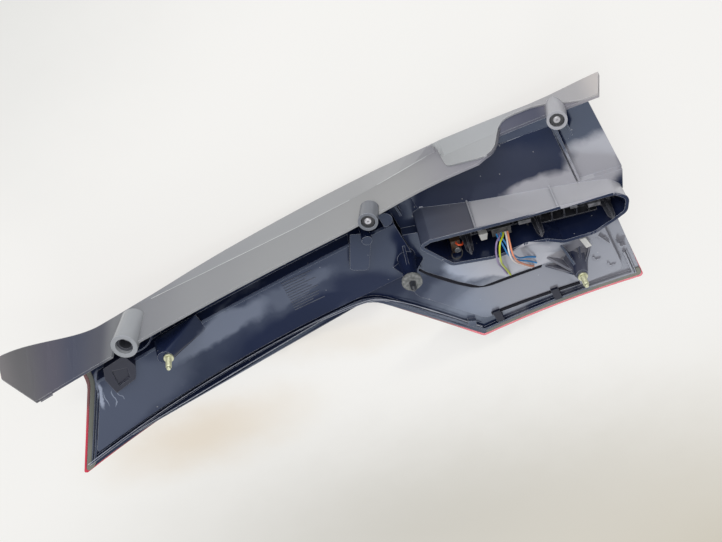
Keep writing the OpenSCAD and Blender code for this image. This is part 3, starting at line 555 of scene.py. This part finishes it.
def moulded(name, look):  # colour by blotches or along the lamp, where painted shade and light can stand, then the painted lit top, painted reflections and sheen, pale edges of wear and painted highlight, dust
    look = {**plainLook, **look}
    material = bpy.data.materials.new(name)
    material.use_nodes = True
    tree = material.node_tree
    shader = tree.nodes["Principled BSDF"]
    shader.inputs["IOR"].default_value = finishRange["ior"]
    shader.inputs["Metallic"].default_value = look["metal"]
    shader.inputs["Specular IOR Level"].default_value = look["specular"]
    effect = tree.nodes.new("ShaderNodeGroup")
    effect.node_tree = surfaceGroup
    for key, label in surfaceInputs.items():
        if key in look:
            effect.inputs[label].default_value = look[key]
    # colours along the lamp, which on the side wall and its facing paint their shade and light
    if "along" in look:
        colour = alongRamp(tree, look["along"])
    else:
        colour = ramp(tree, effect.outputs["Blotch"], list(zip(finishRange["blotch"], look["colours"])))
    if "topColour" in look:
        colour = mixColour(tree, paintedLitMask(tree, look), colour, look["topColour"])
    if "haze" in look:
        colour = paintedReflectionColour(tree, look, colour, shader)
    # pale edges: painted highlights where edges catch the light, and wear
    paleEdges = mathNode(tree, "MULTIPLY", effect.outputs["Edge"], look["wear"])
    colour = mixColour(tree, paleEdges, colour, look["edgeColour"] if "edgeColour" in look else look["colours"][1])
    if look["dust"]:
        dust = mathNode(tree, "MULTIPLY", effect.outputs["Speck"], look["dust"])
        colour = mixColour(tree, dust, colour, finishRange["dustColour"])
    rough = tree.nodes.new("ShaderNodeMapRange")
    for ends, values in (("From", finishRange["rough"]), ("To", look["roughness"])):
        rough.inputs[ends + " Min"].default_value = values[0]
        rough.inputs[ends + " Max"].default_value = values[1]
    join(tree, (effect.outputs["Blotch"], rough.inputs["Value"]),
         (rough.outputs[0], shader.inputs["Roughness"]), (colour, shader.inputs["Base Color"]),
         (effect.outputs["Normal"], shader.inputs["Normal"]))
    if "coat" in look:
        shader.inputs["Coat Weight"].default_value = look["coat"]
        shader.inputs["Coat Roughness"].default_value = finishRange["coatRoughness"]
    return material


looks = {
    "housing": {
        "colours": ((0.006, 0.011, 0.036), (0.011, 0.017, 0.048)), "roughness": (0.17, 0.23),
        "edgeColour": (0.5, 0.52, 0.58), "wear": 1.0, "edge": 0.0007, "waveDepth": 0.0006, "waveScale": 12.0,
        "grainDepth": 0.000006, "dust": 0.6, "blotchScale": 7.0, "specularTint": (0.72, 0.84, 1.0),
        # colours of the painted reflections along the lamp, and of the stronger painted sheen on the collar
        # wall and sleeves
        "hazeAlong": [(0.02, (0.36, 0.4, 0.5)), (0.08, (0.46, 0.45, 0.48))],
        "paleAlong": [(0.0, (0.36, 0.37, 0.385)), (0.08, (0.48, 0.475, 0.5))],
        "haze": [  # painted reflections and highlights, as pale spots: x, y, half length, half width, turn, strength
            (0.15, 0.0, 0.08, 0.026, 5, 0.85), (0.212, 0.018, 0.048, 0.034, 28, 0.85),
            (0.085, -0.056, 0.075, 0.024, -8, 0.9), (0.052, -0.05, 0.04, 0.02, -30, 0.9),
            (0.09, -0.07, 0.075, 0.02, -11, 0.92), (0.017, -0.079, 0.035, 0.035, 0, 0.2),
            (0.09, -0.108, 0.105, 0.04, 0, 0.46), (0.185, -0.1, 0.06, 0.075, 0, 0.56),
            (-0.32, 0.03, 0.1, 0.045, 0, 0.14), (-0.2, 0.037, 0.08, 0.02, -3, 0.34),
            (-0.11, 0.032, 0.05, 0.018, 0, 0.16), (0.1, 0.04, 0.1, 0.05, 0, 0.05),
            (-0.328, 0.056, 0.02, 0.005, 62, 0.85), (-0.325, 0.05, 0.011, 0.0008, 66, 0.6),
            (-0.318, 0.046, 0.013, 0.0008, 60, 0.6), (-0.312, 0.045, 0.01, 0.0007, 64, 0.5)],
        "dull": [
            (-0.13, -0.008, 0.1, 0.024, -8, 0.9), (-0.05, -0.02, 0.06, 0.035, -35, 0.85),
            (0.0, -0.06, 0.04, 0.035, -50, 0.6)],
    },
    "panel": {
        # the colours along the wall paint its shade and reflections: darker towards the narrow end and
        # between x 0.11 and 0.2 beside the right sleeve
        "roughness": (0.42, 0.5), "along": [
            (-0.392, (0.16, 0.15, 0.155)), (-0.37, (0.1, 0.098, 0.105)), (-0.345, (0.075, 0.072, 0.1)),
            (-0.325, (0.045, 0.052, 0.088)), (-0.3, (0.06, 0.064, 0.09)), (-0.284, (0.17, 0.175, 0.19)),
            (-0.25, (0.215, 0.22, 0.24)), (-0.19, (0.265, 0.27, 0.285)), (-0.1, (0.295, 0.3, 0.31)),
            (0.03, (0.31, 0.31, 0.315)), (0.11, (0.24, 0.235, 0.27)), (0.14, (0.085, 0.09, 0.13)),
            (0.18, (0.06, 0.065, 0.105)), (0.2, (0.17, 0.165, 0.2)), (0.245, (0.33, 0.31, 0.33))],
        "edgeColour": (0.62, 0.63, 0.63), "wear": 0.9, "edge": 0.0006, "waveDepth": 0.0004,
        "grainDepth": 0.00001,
    },
    "apron": {
        # the colours along it paint its light: a little lighter in the middle and much lighter at the wide
        # end
        "roughness": (0.42, 0.5), "along": [
            (0.07, (0.33, 0.34, 0.35)), (0.13, (0.37, 0.38, 0.395)), (0.2, (0.34, 0.335, 0.35)),
            (0.222, (0.36, 0.35, 0.36)), (0.245, (0.48, 0.45, 0.44))],
        "edgeColour": (0.75, 0.76, 0.76), "wear": 1.0, "edge": 0.0007, "waveDepth": 0.0004,
    },
    # dark, as the apron lip's thickness with the shadow beside it painted in
    "apronLip": {"colours": ((0.1, 0.1, 0.12), (0.14, 0.14, 0.16)), "roughness": (0.5, 0.6)},
    # pale, as painted highlights along the rails and the collar's foot
    "bead": {
        "colours": ((0.34, 0.36, 0.44), (0.5, 0.52, 0.58)), "roughness": (0.3, 0.4), "blotchScale": 40.0,
    },
    "rib": {
        "colours": ((0.04, 0.048, 0.075), (0.07, 0.08, 0.11)), "roughness": (0.35, 0.45), "blotchScale": 90.0,
    },
    # pale, as painted highlights along the side wall's crease
    "paleBead": {
        "colours": ((0.5, 0.51, 0.52), (0.62, 0.63, 0.63)), "roughness": (0.4, 0.5), "blotchScale": 30.0,
    },
    "lens": {
        "colours": ((0.12, 0.002, 0.006), (0.16, 0.003, 0.009)), "roughness": (0.06, 0.1), "coat": 0.6,
        # painted light: its upward faces at the painted lit places show a bright lit red, and its edges
        # bright red painted highlights, over the dark red of the lens
        "topColour": (0.66, 0.035, 0.075),
        "topPlaces": [(0.13, -0.162, 0.26, 0.055, 2, 1.0), (-0.4, 0.04, 0.05, 0.12, 0, 1.0)],
        "edgeColour": (0.85, 0.12, 0.14), "wear": 0.6, "edge": 0.0008, "grainDepth": 0.0, "waveDepth": 0.0,
    },
    "strip": {"colours": ((0.15, 0.155, 0.13), (0.21, 0.215, 0.175)), "roughness": (0.45, 0.55)},
    "bush": {
        "colours": ((0.08, 0.084, 0.1), (0.13, 0.135, 0.15)), "roughness": (0.3, 0.45), "metal": 0.4,
        "edgeColour": (0.4, 0.4, 0.42), "wear": 0.8, "edge": 0.0004,
    },
    "screw": {
        "colours": ((0.07, 0.07, 0.075), (0.13, 0.13, 0.135)), "roughness": (0.3, 0.45), "metal": 0.8,
        "edgeColour": (0.7, 0.7, 0.7), "wear": 0.8, "edge": 0.0004,
    },
    "screwFace": {
        "colours": ((0.42, 0.41, 0.43), (0.6, 0.59, 0.61)), "roughness": (0.3, 0.45), "metal": 0.5,
        "edgeColour": (0.75, 0.75, 0.75), "wear": 0.8, "edge": 0.0004,
    },
    "zinc": {
        "colours": ((0.5, 0.5, 0.3), (0.66, 0.66, 0.46)), "roughness": (0.25, 0.4), "metal": 0.7,
        "edgeColour": (0.9, 0.9, 0.7), "wear": 0.8, "edge": 0.0003,
    },
    "pin": {
        "colours": ((0.02, 0.022, 0.03), (0.05, 0.052, 0.062)), "roughness": (0.3, 0.4),
        "edgeColour": (0.3, 0.3, 0.32), "wear": 0.8, "edge": 0.0005,
    },
    "washer": {
        "colours": ((0.14, 0.145, 0.145), (0.24, 0.245, 0.24)), "roughness": (0.8, 0.95),
        "blotchScale": 300.0, "grainScale": 1500.0, "grainDepth": 0.0004, "waveDepth": 0.0, "edge": 0.0003,
    },
    "carrier": {
        "colours": ((0.02, 0.021, 0.028), (0.05, 0.052, 0.062)), "roughness": (0.2, 0.3), "blotchScale": 60.0,
        "edgeColour": (0.42, 0.42, 0.47), "wear": 0.9, "edge": 0.0005, "dust": 0.5,
    },
    "paleInsert": {
        "colours": ((0.12, 0.12, 0.13), (0.3, 0.3, 0.32)), "roughness": (0.3, 0.4), "blotchScale": 90.0,
        "edgeColour": (0.6, 0.6, 0.62), "wear": 0.9, "edge": 0.0004,
    },
    "connector": {
        "colours": ((0.03, 0.03, 0.032), (0.09, 0.088, 0.085)), "roughness": (0.4, 0.5), "blotchScale": 120.0,
        "edgeColour": (0.5, 0.5, 0.48), "wear": 0.9, "edge": 0.0004,
    },
    "plug": {"colours": ((0.66, 0.65, 0.62), (0.76, 0.75, 0.72)), "roughness": (0.35, 0.45), "edge": 0.0004},
    "socket": {
        "colours": ((0.06, 0.035, 0.02), (0.1, 0.06, 0.035)), "roughness": (0.3, 0.4),
        "edgeColour": (0.3, 0.2, 0.14), "wear": 0.7, "edge": 0.0005,
    },
    "cap": {
        "colours": ((0.5, 0.5, 0.5), (0.66, 0.66, 0.66)), "roughness": (0.2, 0.3), "metal": 0.9,
        "edge": 0.0003,
    },
    "seal": {
        "colours": ((0.006, 0.006, 0.012), (0.012, 0.012, 0.02)), "roughness": (0.55, 0.7), "edge": 0.0003,
        "edgeColour": (0.03, 0.03, 0.04), "grainDepth": 0.00005, "specular": 0.15,
    },
    "clip": {
        "colours": ((0.008, 0.01, 0.024), (0.014, 0.018, 0.038)), "roughness": (0.3, 0.4), "specular": 0.2,
        "edgeColour": (0.2, 0.21, 0.24), "wear": 0.8, "edge": 0.0005,
    },
    "block": {
        "colours": ((0.012, 0.014, 0.03), (0.024, 0.028, 0.05)), "roughness": (0.28, 0.36),
        "edgeColour": (0.24, 0.25, 0.3), "wear": 0.9, "edge": 0.0006,
    },
    "reflector": {"colours": ((0.6, 0.61, 0.63), (0.7, 0.71, 0.73)), "roughness": (0.1, 0.16), "metal": 1.0},
    "guide": {"colours": ((0.7, 0.73, 0.76), (0.8, 0.82, 0.84)), "roughness": (0.1, 0.2)},
    "board": {"colours": ((0.02, 0.12, 0.05), (0.03, 0.17, 0.08)), "roughness": (0.35, 0.45)},
    "bulb": {"colours": ((0.7, 0.68, 0.62), (0.8, 0.78, 0.72)), "roughness": (0.05, 0.1), "coat": 0.5},
}
wireLook = {
    "radius": 0.00095, "loopRadius": 0.0007, "sides": 14, "steps": 10, "darker": 0.86,
    "finish": {"roughness": (0.28, 0.36), "blotchScale": 120.0, "waveDepth": 0.0, "edge": 0.0002},
    "colours": {
        "wire_yellow": (0.52, 0.6, 0.015), "wire_violet": (0.3, 0.22, 0.42), "wire_white": (0.78, 0.72, 0.7),
        "wire_orange": (0.82, 0.3, 0.16), "wire_blue": (0.04, 0.25, 0.58), "lead": (0.8, 0.1, 0.03),
        "loop": (0.014, 0.012, 0.012),
    },
}
for key, colour in wireLook["colours"].items():
    looks[key] = {"colours": (tuple(wireLook["darker"] * c for c in colour), colour), **wireLook["finish"]}
materials = {key: moulded(key, look) for key, look in looks.items()}
print("materials ready:", len(materials))

# The wires' routes, the same as in the part's source, in millimetres
wireRoutes = {
    "wire_yellow": [
        (102.3, 0.8, -11.9), (102.3, 0.8, -9.6), (100.8, 2, -4), (96.3, 2.5, 4.5), (92, -5, 7.6),
        (88.8, -18, 4.8), (87, -30, -4.5), (86, -45, -18), (85.3, -62, -31), (85.5, -79, -39.9)],
    "wire_violet": [
        (98, 1.9, -11.9), (98, 1.9, -9.6), (98.2, 3, -4.5), (93.5, 3.5, 2.5), (89, -4, 5),
        (85.8, -17, 2.4), (84, -30, -6), (83, -45, -19.5), (82.5, -60, -31.5), (82.7, -76, -40.1)],
    "wire_white": [
        (104.5, 0.2, -11.9), (104.5, 0.2, -9.6), (103.5, -2, -3), (101.5, -6, 4), (99.9, -11, 7.5),
        (99.2, -20, 6), (99.6, -32, -1.5), (101.5, -50, -16), (105.5, -69, -30), (108.5, -80, -37.4)],
    "wire_orange": [
        (106.6, -0.4, -11.9), (106.6, -0.4, -9.6), (105.3, -3, -3), (103.8, -7, 4), (102.6, -12, 7.8),
        (102, -21, 6), (102.4, -33, -1.5), (104.3, -51, -16), (108.3, -69, -29.5), (111.3, -79, -37)],
    "wire_blue_a": [
        (95.8, 2.4, -11.9), (95.8, 2.4, -9.8), (96.2, 0.5, -5.5), (97.2, -5.5, -1.5), (97.5, -13, 2.2),
        (98, -20, 0.5), (98.4, -30, -8), (100.5, -50, -23.5), (109.5, -65, -31.5), (115.5, -76, -36.5)],
    "wire_blue_b": [
        (100.1, 1.3, -11.9), (100.1, 1.3, -9.8), (99.6, -1, -5.5), (100.5, -6, -1.5), (100.8, -13, 2.2),
        (101, -20, 0.5), (101.5, -30, -8), (104, -49, -23), (111, -58, -30), (117.5, -68, -36.2)],
    "lead_orange": [
        (56.5, 12.5, -13.9), (56.5, 12.5, -12), (58.4, 11.2, -9.6), (61.5, 8.5, -12), (63.2, 7, -20)],
    "lead_loop": [
        (51, 6, -13.9), (51, 6, -12), (48.5, 8.3, -6), (48, 6, -2), (51, 3.5, -0.8), (56, 3, -2.2),
        (58.6, 5, -6), (58, 8, -10), (58, 8, -13.8)],
}

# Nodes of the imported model: soft copies of eight, and the others in their own finish
softNodes = {  # node, new name, angle below which an edge is soft
    "rear_housing": ("housingShell", 24), "side_panel": ("sideWall", 9), "side_apron": ("sideFacing", 9),
    "outer_lens": ("redLens", 20), "lamp_carrier": ("lampHolder", 24), "rim_strip": ("rimBand", 20),
    "perimeter_seal": ("backSeal", 24), "rim_gasket": ("rimSeal", 24),
}
slotOf = {entry["node"]: entry["material_slot"] for entry in frame["record"]["subparts"]}
for node, thing in frame["nodes"].items():
    if node in softNodes:
        name, angle = softNodes[node]
        piece = mergedCopy(name, node, angle)
        if node == "rear_housing":
            trimArcs(piece.data)
            markPaintedSheen(piece.data)
        finishPiece(piece, node, node)
    elif node not in wireRoutes:
        thing.data.materials.clear()
        thing.data.materials.append(materials[slotOf[node]])
print("nodes dressed:", len(frame["nodes"]))

# Wires, as tubes along their routes
for node, route in wireRoutes.items():
    path = easedPath(np.array(route) / 1000, wireLook["steps"])
    radius = wireLook["loopRadius" if node == "lead_loop" else "radius"]
    words = node.split("_")
    name = words[0] + words[1].title() + "".join(w.upper() for w in words[2:])
    piece = addMesh(name, *tubeParts(path, radius, wireLook["sides"]))
    finishPiece(piece, node, node)
print("wires laid:", len(wireRoutes))

# Studs: a flange, a thread of rings 1 mm apart and a plain tip, all as pairs of radius and height
studLook = {
    "places": [(-0.243, 0.06606, 0.02503), (0.153, -0.092, -0.006)], "sides": 32,
    "flange": [(0, 0), (0.0052, 0), (0.0052, 0.0016), (0.0048, 0.002), (0.003, 0.002)],
    "rings": 12, "firstRing": 0.0023, "pitch": 0.00098,
    "ring": [(0.0025, 0), (0.003, 0.0003), (0.003, 0.0005), (0.0025, 0.0008)],
    "tip": [(0.0021, 0.0143), (0.0021, 0.0165), (0.0016, 0.017), (0, 0.017)],
}
studProfile = list(studLook["flange"])
for k in range(studLook["rings"]):
    z = studLook["firstRing"] + studLook["pitch"] * k
    studProfile += [(radius, z + rise) for radius, rise in studLook["ring"]]
studProfile += studLook["tip"]
studParts = [lathe(studProfile, place, studLook["sides"]) for place in studLook["places"]]
finishPiece(joined("threadedStuds", studParts), "studs", "studs")

# Screws: a bright raised face with a shallow round recess, below the top of its sleeve and leaning with it
faceLook = {
    "radius": 0.0036, "sink": 0.0009, "rise": 0.0008, "ease": 0.0006, "recess": 0.0011, "recessFoot": 0.8,
    "hole": 0.0001, "drop": 0.0016, "lean": (0.14, -0.18), "sides": 32, "softBelow": 40,
}


def makeFaceProfile():  # pairs of radius and height, from under the head round its eased rim into the recess
    hole, radius, recess = faceLook["hole"], faceLook["radius"], faceLook["recess"]
    low, rise, ease = -faceLook["sink"], faceLook["rise"], faceLook["ease"]
    return [(hole, low), (radius, low), (radius, rise - ease), (radius - ease, rise), (recess, rise),
            (recess * faceLook["recessFoot"], rise - 2 * ease), (hole, rise - 2 * ease)]


def makeScrewFaces():  # each stands the drop below its sleeve's top, and aside by its lean times the drop
    drop, (along, across) = faceLook["drop"], faceLook["lean"]
    places = [(x + along * drop, y + across * drop, z - drop) for x, y, z, radius, pale in sleeveAxes[1:]]
    parts = [lathe(makeFaceProfile(), place, faceLook["sides"]) for place in places]
    finishPiece(joined("screwFaces", parts, faceLook["softBelow"]), "screw_b", look="screwFace")


makeScrewFaces()

# Washer of the centre pin: a ring of foam, its rim moved in and out and its top pressed down by seven waves
foamLook = {
    "sides": 120, "waves": (7, 11, 17, 23, 29, 37, 43), "byHeight": 900, "byReach": 700, "phase": 2,
    "outward": 0.00009, "downward": 0.00012, "bore": 0.004, "topLevel": -0.0002, "softBelow": 60,
    "rings": [  # radius and height
        (0.0038, -0.005), (0.0092, -0.005), (0.0101, -0.0046), (0.0104, -0.0036), (0.0104, -0.0025),
        (0.0104, -0.0014), (0.01, -0.0004), (0.0092, 0), (0.0078, 0), (0.0064, 0), (0.0052, 0), (0.0038, 0)],
}


def makeFoam():  # bumps: the sum over k of the sine of k angle + byHeight k height + byReach reach + phase k
    sides = foamLook["sides"]
    points, faces = lathe(foamLook["rings"], (0, 0, 0), sides)
    angles = np.arctan2(points[:, 1], points[:, 0])
    reach = np.hypot(points[:, 0], points[:, 1])
    bumps = sum(np.sin(k * angles + foamLook["byHeight"] * k * points[:, 2] + foamLook["byReach"] * reach
                       + foamLook["phase"] * k) for k in foamLook["waves"])
    outside = reach > foamLook["bore"]
    points[:, :2] *= (1 + foamLook["outward"] * bumps / reach * outside)[:, None]
    points[:, 2] -= foamLook["downward"] * np.abs(bumps) * (points[:, 2] > foamLook["topLevel"]) * outside
    last = (len(foamLook["rings"]) - 1) * sides
    faces += [[last + k, last + (k + 1) % sides, (k + 1) % sides, k] for k in range(sides)]
    finishPiece(joined("foamWasher", [(points, faces)], foamLook["softBelow"]), "pin_washer", "pin_washer")


makeFoam()

# Thin round beads along the lamp: pale ones as painted highlights on edges that catch the light, a dark one
# as the apron's lip with its shadow painted in, and the back seal: places in millimetres, radii in metres
beadLook = {"sides": 8, "step": 0.006, "softBelow": 60, "cut": 0.25, "fineRounds": 3, "plainRounds": 2}
railLook = {
    "line": [(-388, -8.5), (-230, -20.5), (-72, -33), (-40, -48), (29, -142)],
    "beads": [  # name, shift of the line, height above the rim, radius
        ("innerRailEdge", (0, 0.6), 7.1, 0.00045), ("outerRailEdge", (-0.5, -3.2), 5.1, 0.0004)],
}
creaseLook = {
    "x": [-300, -262, -190, -124, -80, -10, 19, 49, 70],
    "h": [-14.5, -13, -6, -1.8, 0, -1, -4.5, -8.9, -12.6],
    "start": -0.245, "end": 0.066, "points": 90, "gap": (-0.021, 0.008), "back": -0.00005, "radius": 0.00035,
}
lipLook = {
    "x": [100, 112, 121, 126, 130, 134, 137, 140, 144, 150, 158, 180],
    "h": [25, 28.6, 29.6, 28, 25, 19.3, 11, 1.6, -5, -9.5, -11, -11],
    "start": 0.122, "end": 0.172, "points": 50, "ahead": 0.0012, "above": 0.0004, "back": -0.0008,
    "radius": 0.0011,
}
sealLook = {
    "line": [(5, -27), (12, -40), (31.6, -64.8), (50.6, -83.4), (84, -84.6), (118, -85)], "h": 11.6,
    "radius": 0.0025,
}
footLook = {"line": [(36, 40.2), (70, 31.6), (105, 22.9), (150, 12), (186, 3.6)], "h": 3.4, "radius": 0.0006}


def flatPath(points, h):  # short steps along straight legs, at height h above the rim
    points = np.asarray(points, float) / 1000
    legs = []
    for a, b in zip(points[:-1], points[1:]):
        n = max(2, int(np.linalg.norm(b - a) / beadLook["step"]))
        legs.append(a + (b - a) * np.linspace(0, 1, n, endpoint=False)[:, None])
    flat = np.vstack(legs + [points[-1:]])
    return np.column_stack([flat, levelZ(flat[:, 0], h / 1000)])


def softened(points, rounds):  # corners cut off again and again at a share of each leg, into a curve
    points = np.asarray(points, float)
    cut = beadLook["cut"]
    for _ in range(rounds):
        a, b = points[:-1], points[1:]
        inner = np.stack([(1 - cut) * a + cut * b, cut * a + (1 - cut) * b], 1)
        points = np.vstack([points[:1], inner.reshape(-1, 2), points[-1:]])
    return points


def bead(name, path, radius, look, node):  # a thin tube along the path, in the node's slot
    parts = [tubeParts(path, radius, beadLook["sides"])]
    finishPiece(joined(name, parts, beadLook["softBelow"]), node, look=look)


def heightAt(look, x):  # height above the rim at x, by straight lines between the look's places
    return np.interp(x, np.array(look["x"]) / 1000, np.array(look["h"]) / 1000)


for name, shift, h, radius in railLook["beads"]:
    line = softened(np.array(railLook["line"]) + shift, beadLook["fineRounds"])
    bead(name, flatPath(line, h), radius, "bead", "rear_housing")
x = np.linspace(creaseLook["start"], creaseLook["end"], creaseLook["points"])
for name, some in (("leftCrease", x[x < creaseLook["gap"][0]]), ("rightCrease", x[x > creaseLook["gap"][1]])):
    path = wallPoint(some, heightAt(creaseLook, some), creaseLook["back"])
    bead(name, path, creaseLook["radius"], "paleBead", "side_panel")
# the apron's lip: a dark bead, with the shadow along it painted in
x = np.linspace(lipLook["start"], lipLook["end"], lipLook["points"])
path = wallPoint(x + lipLook["ahead"], heightAt(lipLook, x) + lipLook["above"], lipLook["back"])
bead("apronLip", path, lipLook["radius"], "apronLip", "side_apron")
sealLine = softened(sealLook["line"], beadLook["plainRounds"])
bead("sealBead", flatPath(sealLine, sealLook["h"]), sealLook["radius"], "seal", "perimeter_seal")
footLine = softened(footLook["line"], beadLook["plainRounds"])
bead("collarFoot", flatPath(footLine, footLook["h"]), footLook["radius"], "bead", "rear_housing")

# Plain ribs across the arm, each as long as length times (shortest plus swing times a sine of its number)
ribLook = {
    "count": 12, "first": (-122, 46), "step": (-0.4, -3.4), "length": 34, "shortest": 0.82, "swing": 0.18,
    "turn": 2.3, "phase": 1, "slope": -0.11, "h": 20.0, "radius": 0.00045, "sides": 6, "softBelow": 60,
}
ribParts = []
for k in range(ribLook["count"]):
    a = np.array(ribLook["first"]) + k * np.array(ribLook["step"])
    wave = math.sin(ribLook["turn"] * k + ribLook["phase"])
    reach = ribLook["length"] * (ribLook["shortest"] + ribLook["swing"] * wave)
    path = flatPath([a, a + (reach, ribLook["slope"] * reach)], ribLook["h"])
    ribParts.append(tubeParts(path, ribLook["radius"], ribLook["sides"]))
finishPiece(joined("plainRibs", ribParts, ribLook["softBelow"]), "rear_housing", look="rib")

# The carrier's side arms and inserts: boxes from a low corner to a high one, in the carrier's own directions
armLook = {
    "place": (0.136, -0.0083, 0.0), "turn": -14.4,
    "boxes": [
        ((-0.017, -0.0018, -0.0262), (-0.0045, 0.0022, -0.019)),
        ((0.054, -0.0018, -0.0262), (0.0665, 0.0022, -0.019))],
    "insertFoot": -0.0265, "insertWidth": 0.0035,
    "inserts": [  # along, across, length, top
        (0.018, 0.001, 0.006, -0.0235), (0.0285, 0.004, 0.005, -0.0225), (0.037, -0.002, 0.007, -0.024),
        (0.0465, 0.003, 0.005, -0.0215), (-0.0235, 0.002, 0.006, -0.0235), (-0.0585, 0.0, 0.005, -0.022)],
}
foot, width = armLook["insertFoot"], armLook["insertWidth"]
armBoxes = armLook["boxes"] + [((u, v, foot), (u + w, v + width, top)) for u, v, w, top in armLook["inserts"]]
armParts = [block(low, high, armLook["place"], armLook["turn"]) for low, high in armBoxes]
finishPiece(joined("carrierArms", armParts), "lamp_carrier", look="paleInsert")

# A collar where each wire enters the connector, as pairs of radius and height
bootLook = {
    "profile": [(0.0014, -0.0121), (0.0014, -0.0106), (0.0011, -0.0103), (0.0009, -0.0103)], "sides": 16,
}
starts = [route[0] for node, route in wireRoutes.items() if node.startswith("wire_")]
bootParts = [lathe(bootLook["profile"], (x / 1000, y / 1000, 0), bootLook["sides"]) for x, y, z in starts]
finishPiece(joined("wireBoots", bootParts), "wire_connector", look="connector")
print("small forms ready")

# Floor and lamps
floorLook = {
    "level": -0.0885, "half": 6.0, "colour": (0.86, 0.85, 0.83), "paper": (0.925, 0.915, 0.89),
    "flatShare": 0.78, "roughness": 0.9, "specular": 0.1, "tintCore": 0.0,
    "shade": [  # x, y, half length, half width, turn, strength, here and in the painted glow and shade
        (0.05, -0.175, 0.18, 0.035, 5, 0.35), (-0.2, -0.045, 0.25, 0.04, -8, 0.4)],
    "tints": [  # painted glow of light through the red lens (the warm colour) and painted shade (the grey ones) on the paper: colour, then its spots
        ((0.78, 0.69, 0.57), [(-0.33, -0.15, 0.19, 0.085, -8, 0.8), (-0.12, -0.1, 0.14, 0.045, -20, 0.3)]),
        ((0.62, 0.605, 0.56), [(-0.18, -0.46, 0.6, 0.32, -20, 0.9)]),
        ((0.62, 0.58, 0.49), [(0.2, -0.85, 0.9, 0.6, -20, 1.0)]),
        ((0.72, 0.72, 0.7), [(-0.32, 0.5, 0.6, 0.34, 10, 0.9)])],
}
lampLooks = [  # name, place, what it points at, size, radiance
    ("keyPanel", (-0.75, -1.85, 1.4), (0.1, 0.0, 0.0), (0.95, 1.5), 2.6),
    ("highPanel", (0.21, -1.32, 2.3), (-0.1, 0.0, 0.0), (1.2, 0.45), 1.0),
    ("fillPanel", (0.2, 2.2, 1.4), (0.0, 0.0, 0.0), (3.2, 1.8), 2.2),
    ("topPanel", (0.3, 0.9, 2.6), (0.0, 0.0, 0.0), (2.2, 1.6), 1.6),
]
roomLook = {"colour": (0.96, 0.98, 1.0), "strength": 0.45}


def paperWithPaintedLight(tree, colour):  # the colour with each painted glow and shade over it, as strong as its spots there
    for paintedTone, spots in floorLook["tints"]:
        colour = mixColour(tree, spotMask(tree, spots, floorLook["tintCore"]), colour, paintedTone)
    return colour


def paperShade(material):  # the camera sees mostly plain paper with its painted glow and shade, and the lit floor's shadows mixed in
    tree = material.node_tree
    shader = tree.nodes["Principled BSDF"]
    end = tree.nodes["Material Output"]
    shade = spotMask(tree, floorLook["shade"])
    flat = tree.nodes.new("ShaderNodeEmission")
    join(tree, (paperWithPaintedLight(tree, floorLook["colour"]), shader.inputs["Base Color"]),
         (paperWithPaintedLight(tree, floorLook["paper"]), flat.inputs["Color"]))
    path = tree.nodes.new("ShaderNodeLightPath")
    seen = mathNode(tree, "MAXIMUM", path.outputs["Is Camera Ray"], path.outputs["Is Glossy Ray"])
    seen = mathNode(tree, "MAXIMUM", seen, path.outputs["Is Transmission Ray"])
    share = mathNode(tree, "MULTIPLY", mathNode(tree, "SUBTRACT", 1.0, shade), floorLook["flatShare"])
    mix = tree.nodes.new("ShaderNodeMixShader")
    join(tree, (mathNode(tree, "MULTIPLY", seen, share), mix.inputs[0]), (shader.outputs[0], mix.inputs[1]),
         (flat.outputs[0], mix.inputs[2]), (mix.outputs[0], end.inputs["Surface"]))


def makeFloor():  # a square of paper, just below the part
    half, z = floorLook["half"], floorLook["level"]
    corners = [(-half, -half, z), (half, -half, z), (half, half, z), (-half, half, z)]
    floor = addMesh("paper", corners, [(0, 1, 2, 3)])
    material = bpy.data.materials.new("paper")
    material.use_nodes = True
    shader = material.node_tree.nodes["Principled BSDF"]
    shader.inputs["Roughness"].default_value = floorLook["roughness"]
    shader.inputs["Specular IOR Level"].default_value = floorLook["specular"]
    paperShade(material)
    floor.data.materials.append(material)


def makeLamp(name, place, target, size, radiance):  # its power is its radiance times pi times its area
    data = bpy.data.lights.new(name, "AREA")
    data.shape = "RECTANGLE"
    data.size, data.size_y = size
    data.energy = radiance * math.pi * size[0] * size[1]
    lamp = bpy.data.objects.new(name, data)
    lamp.location = place
    lamp.rotation_mode = "QUATERNION"
    lamp.rotation_quaternion = (Vector(target) - Vector(place)).to_track_quat("-Z", "Y")
    scene.collection.objects.link(lamp)


def makeWorld():  # an even soft light from all round
    world = bpy.data.worlds.new("room")
    world.use_nodes = True
    shade = world.node_tree.nodes["Background"]
    shade.inputs["Color"].default_value = (*roomLook["colour"], 1.0)
    shade.inputs["Strength"].default_value = roomLook["strength"]
    scene.world = world


makeFloor()
for lamp in lampLooks:
    makeLamp(*lamp)
makeWorld()
print("floor and lamps ready")
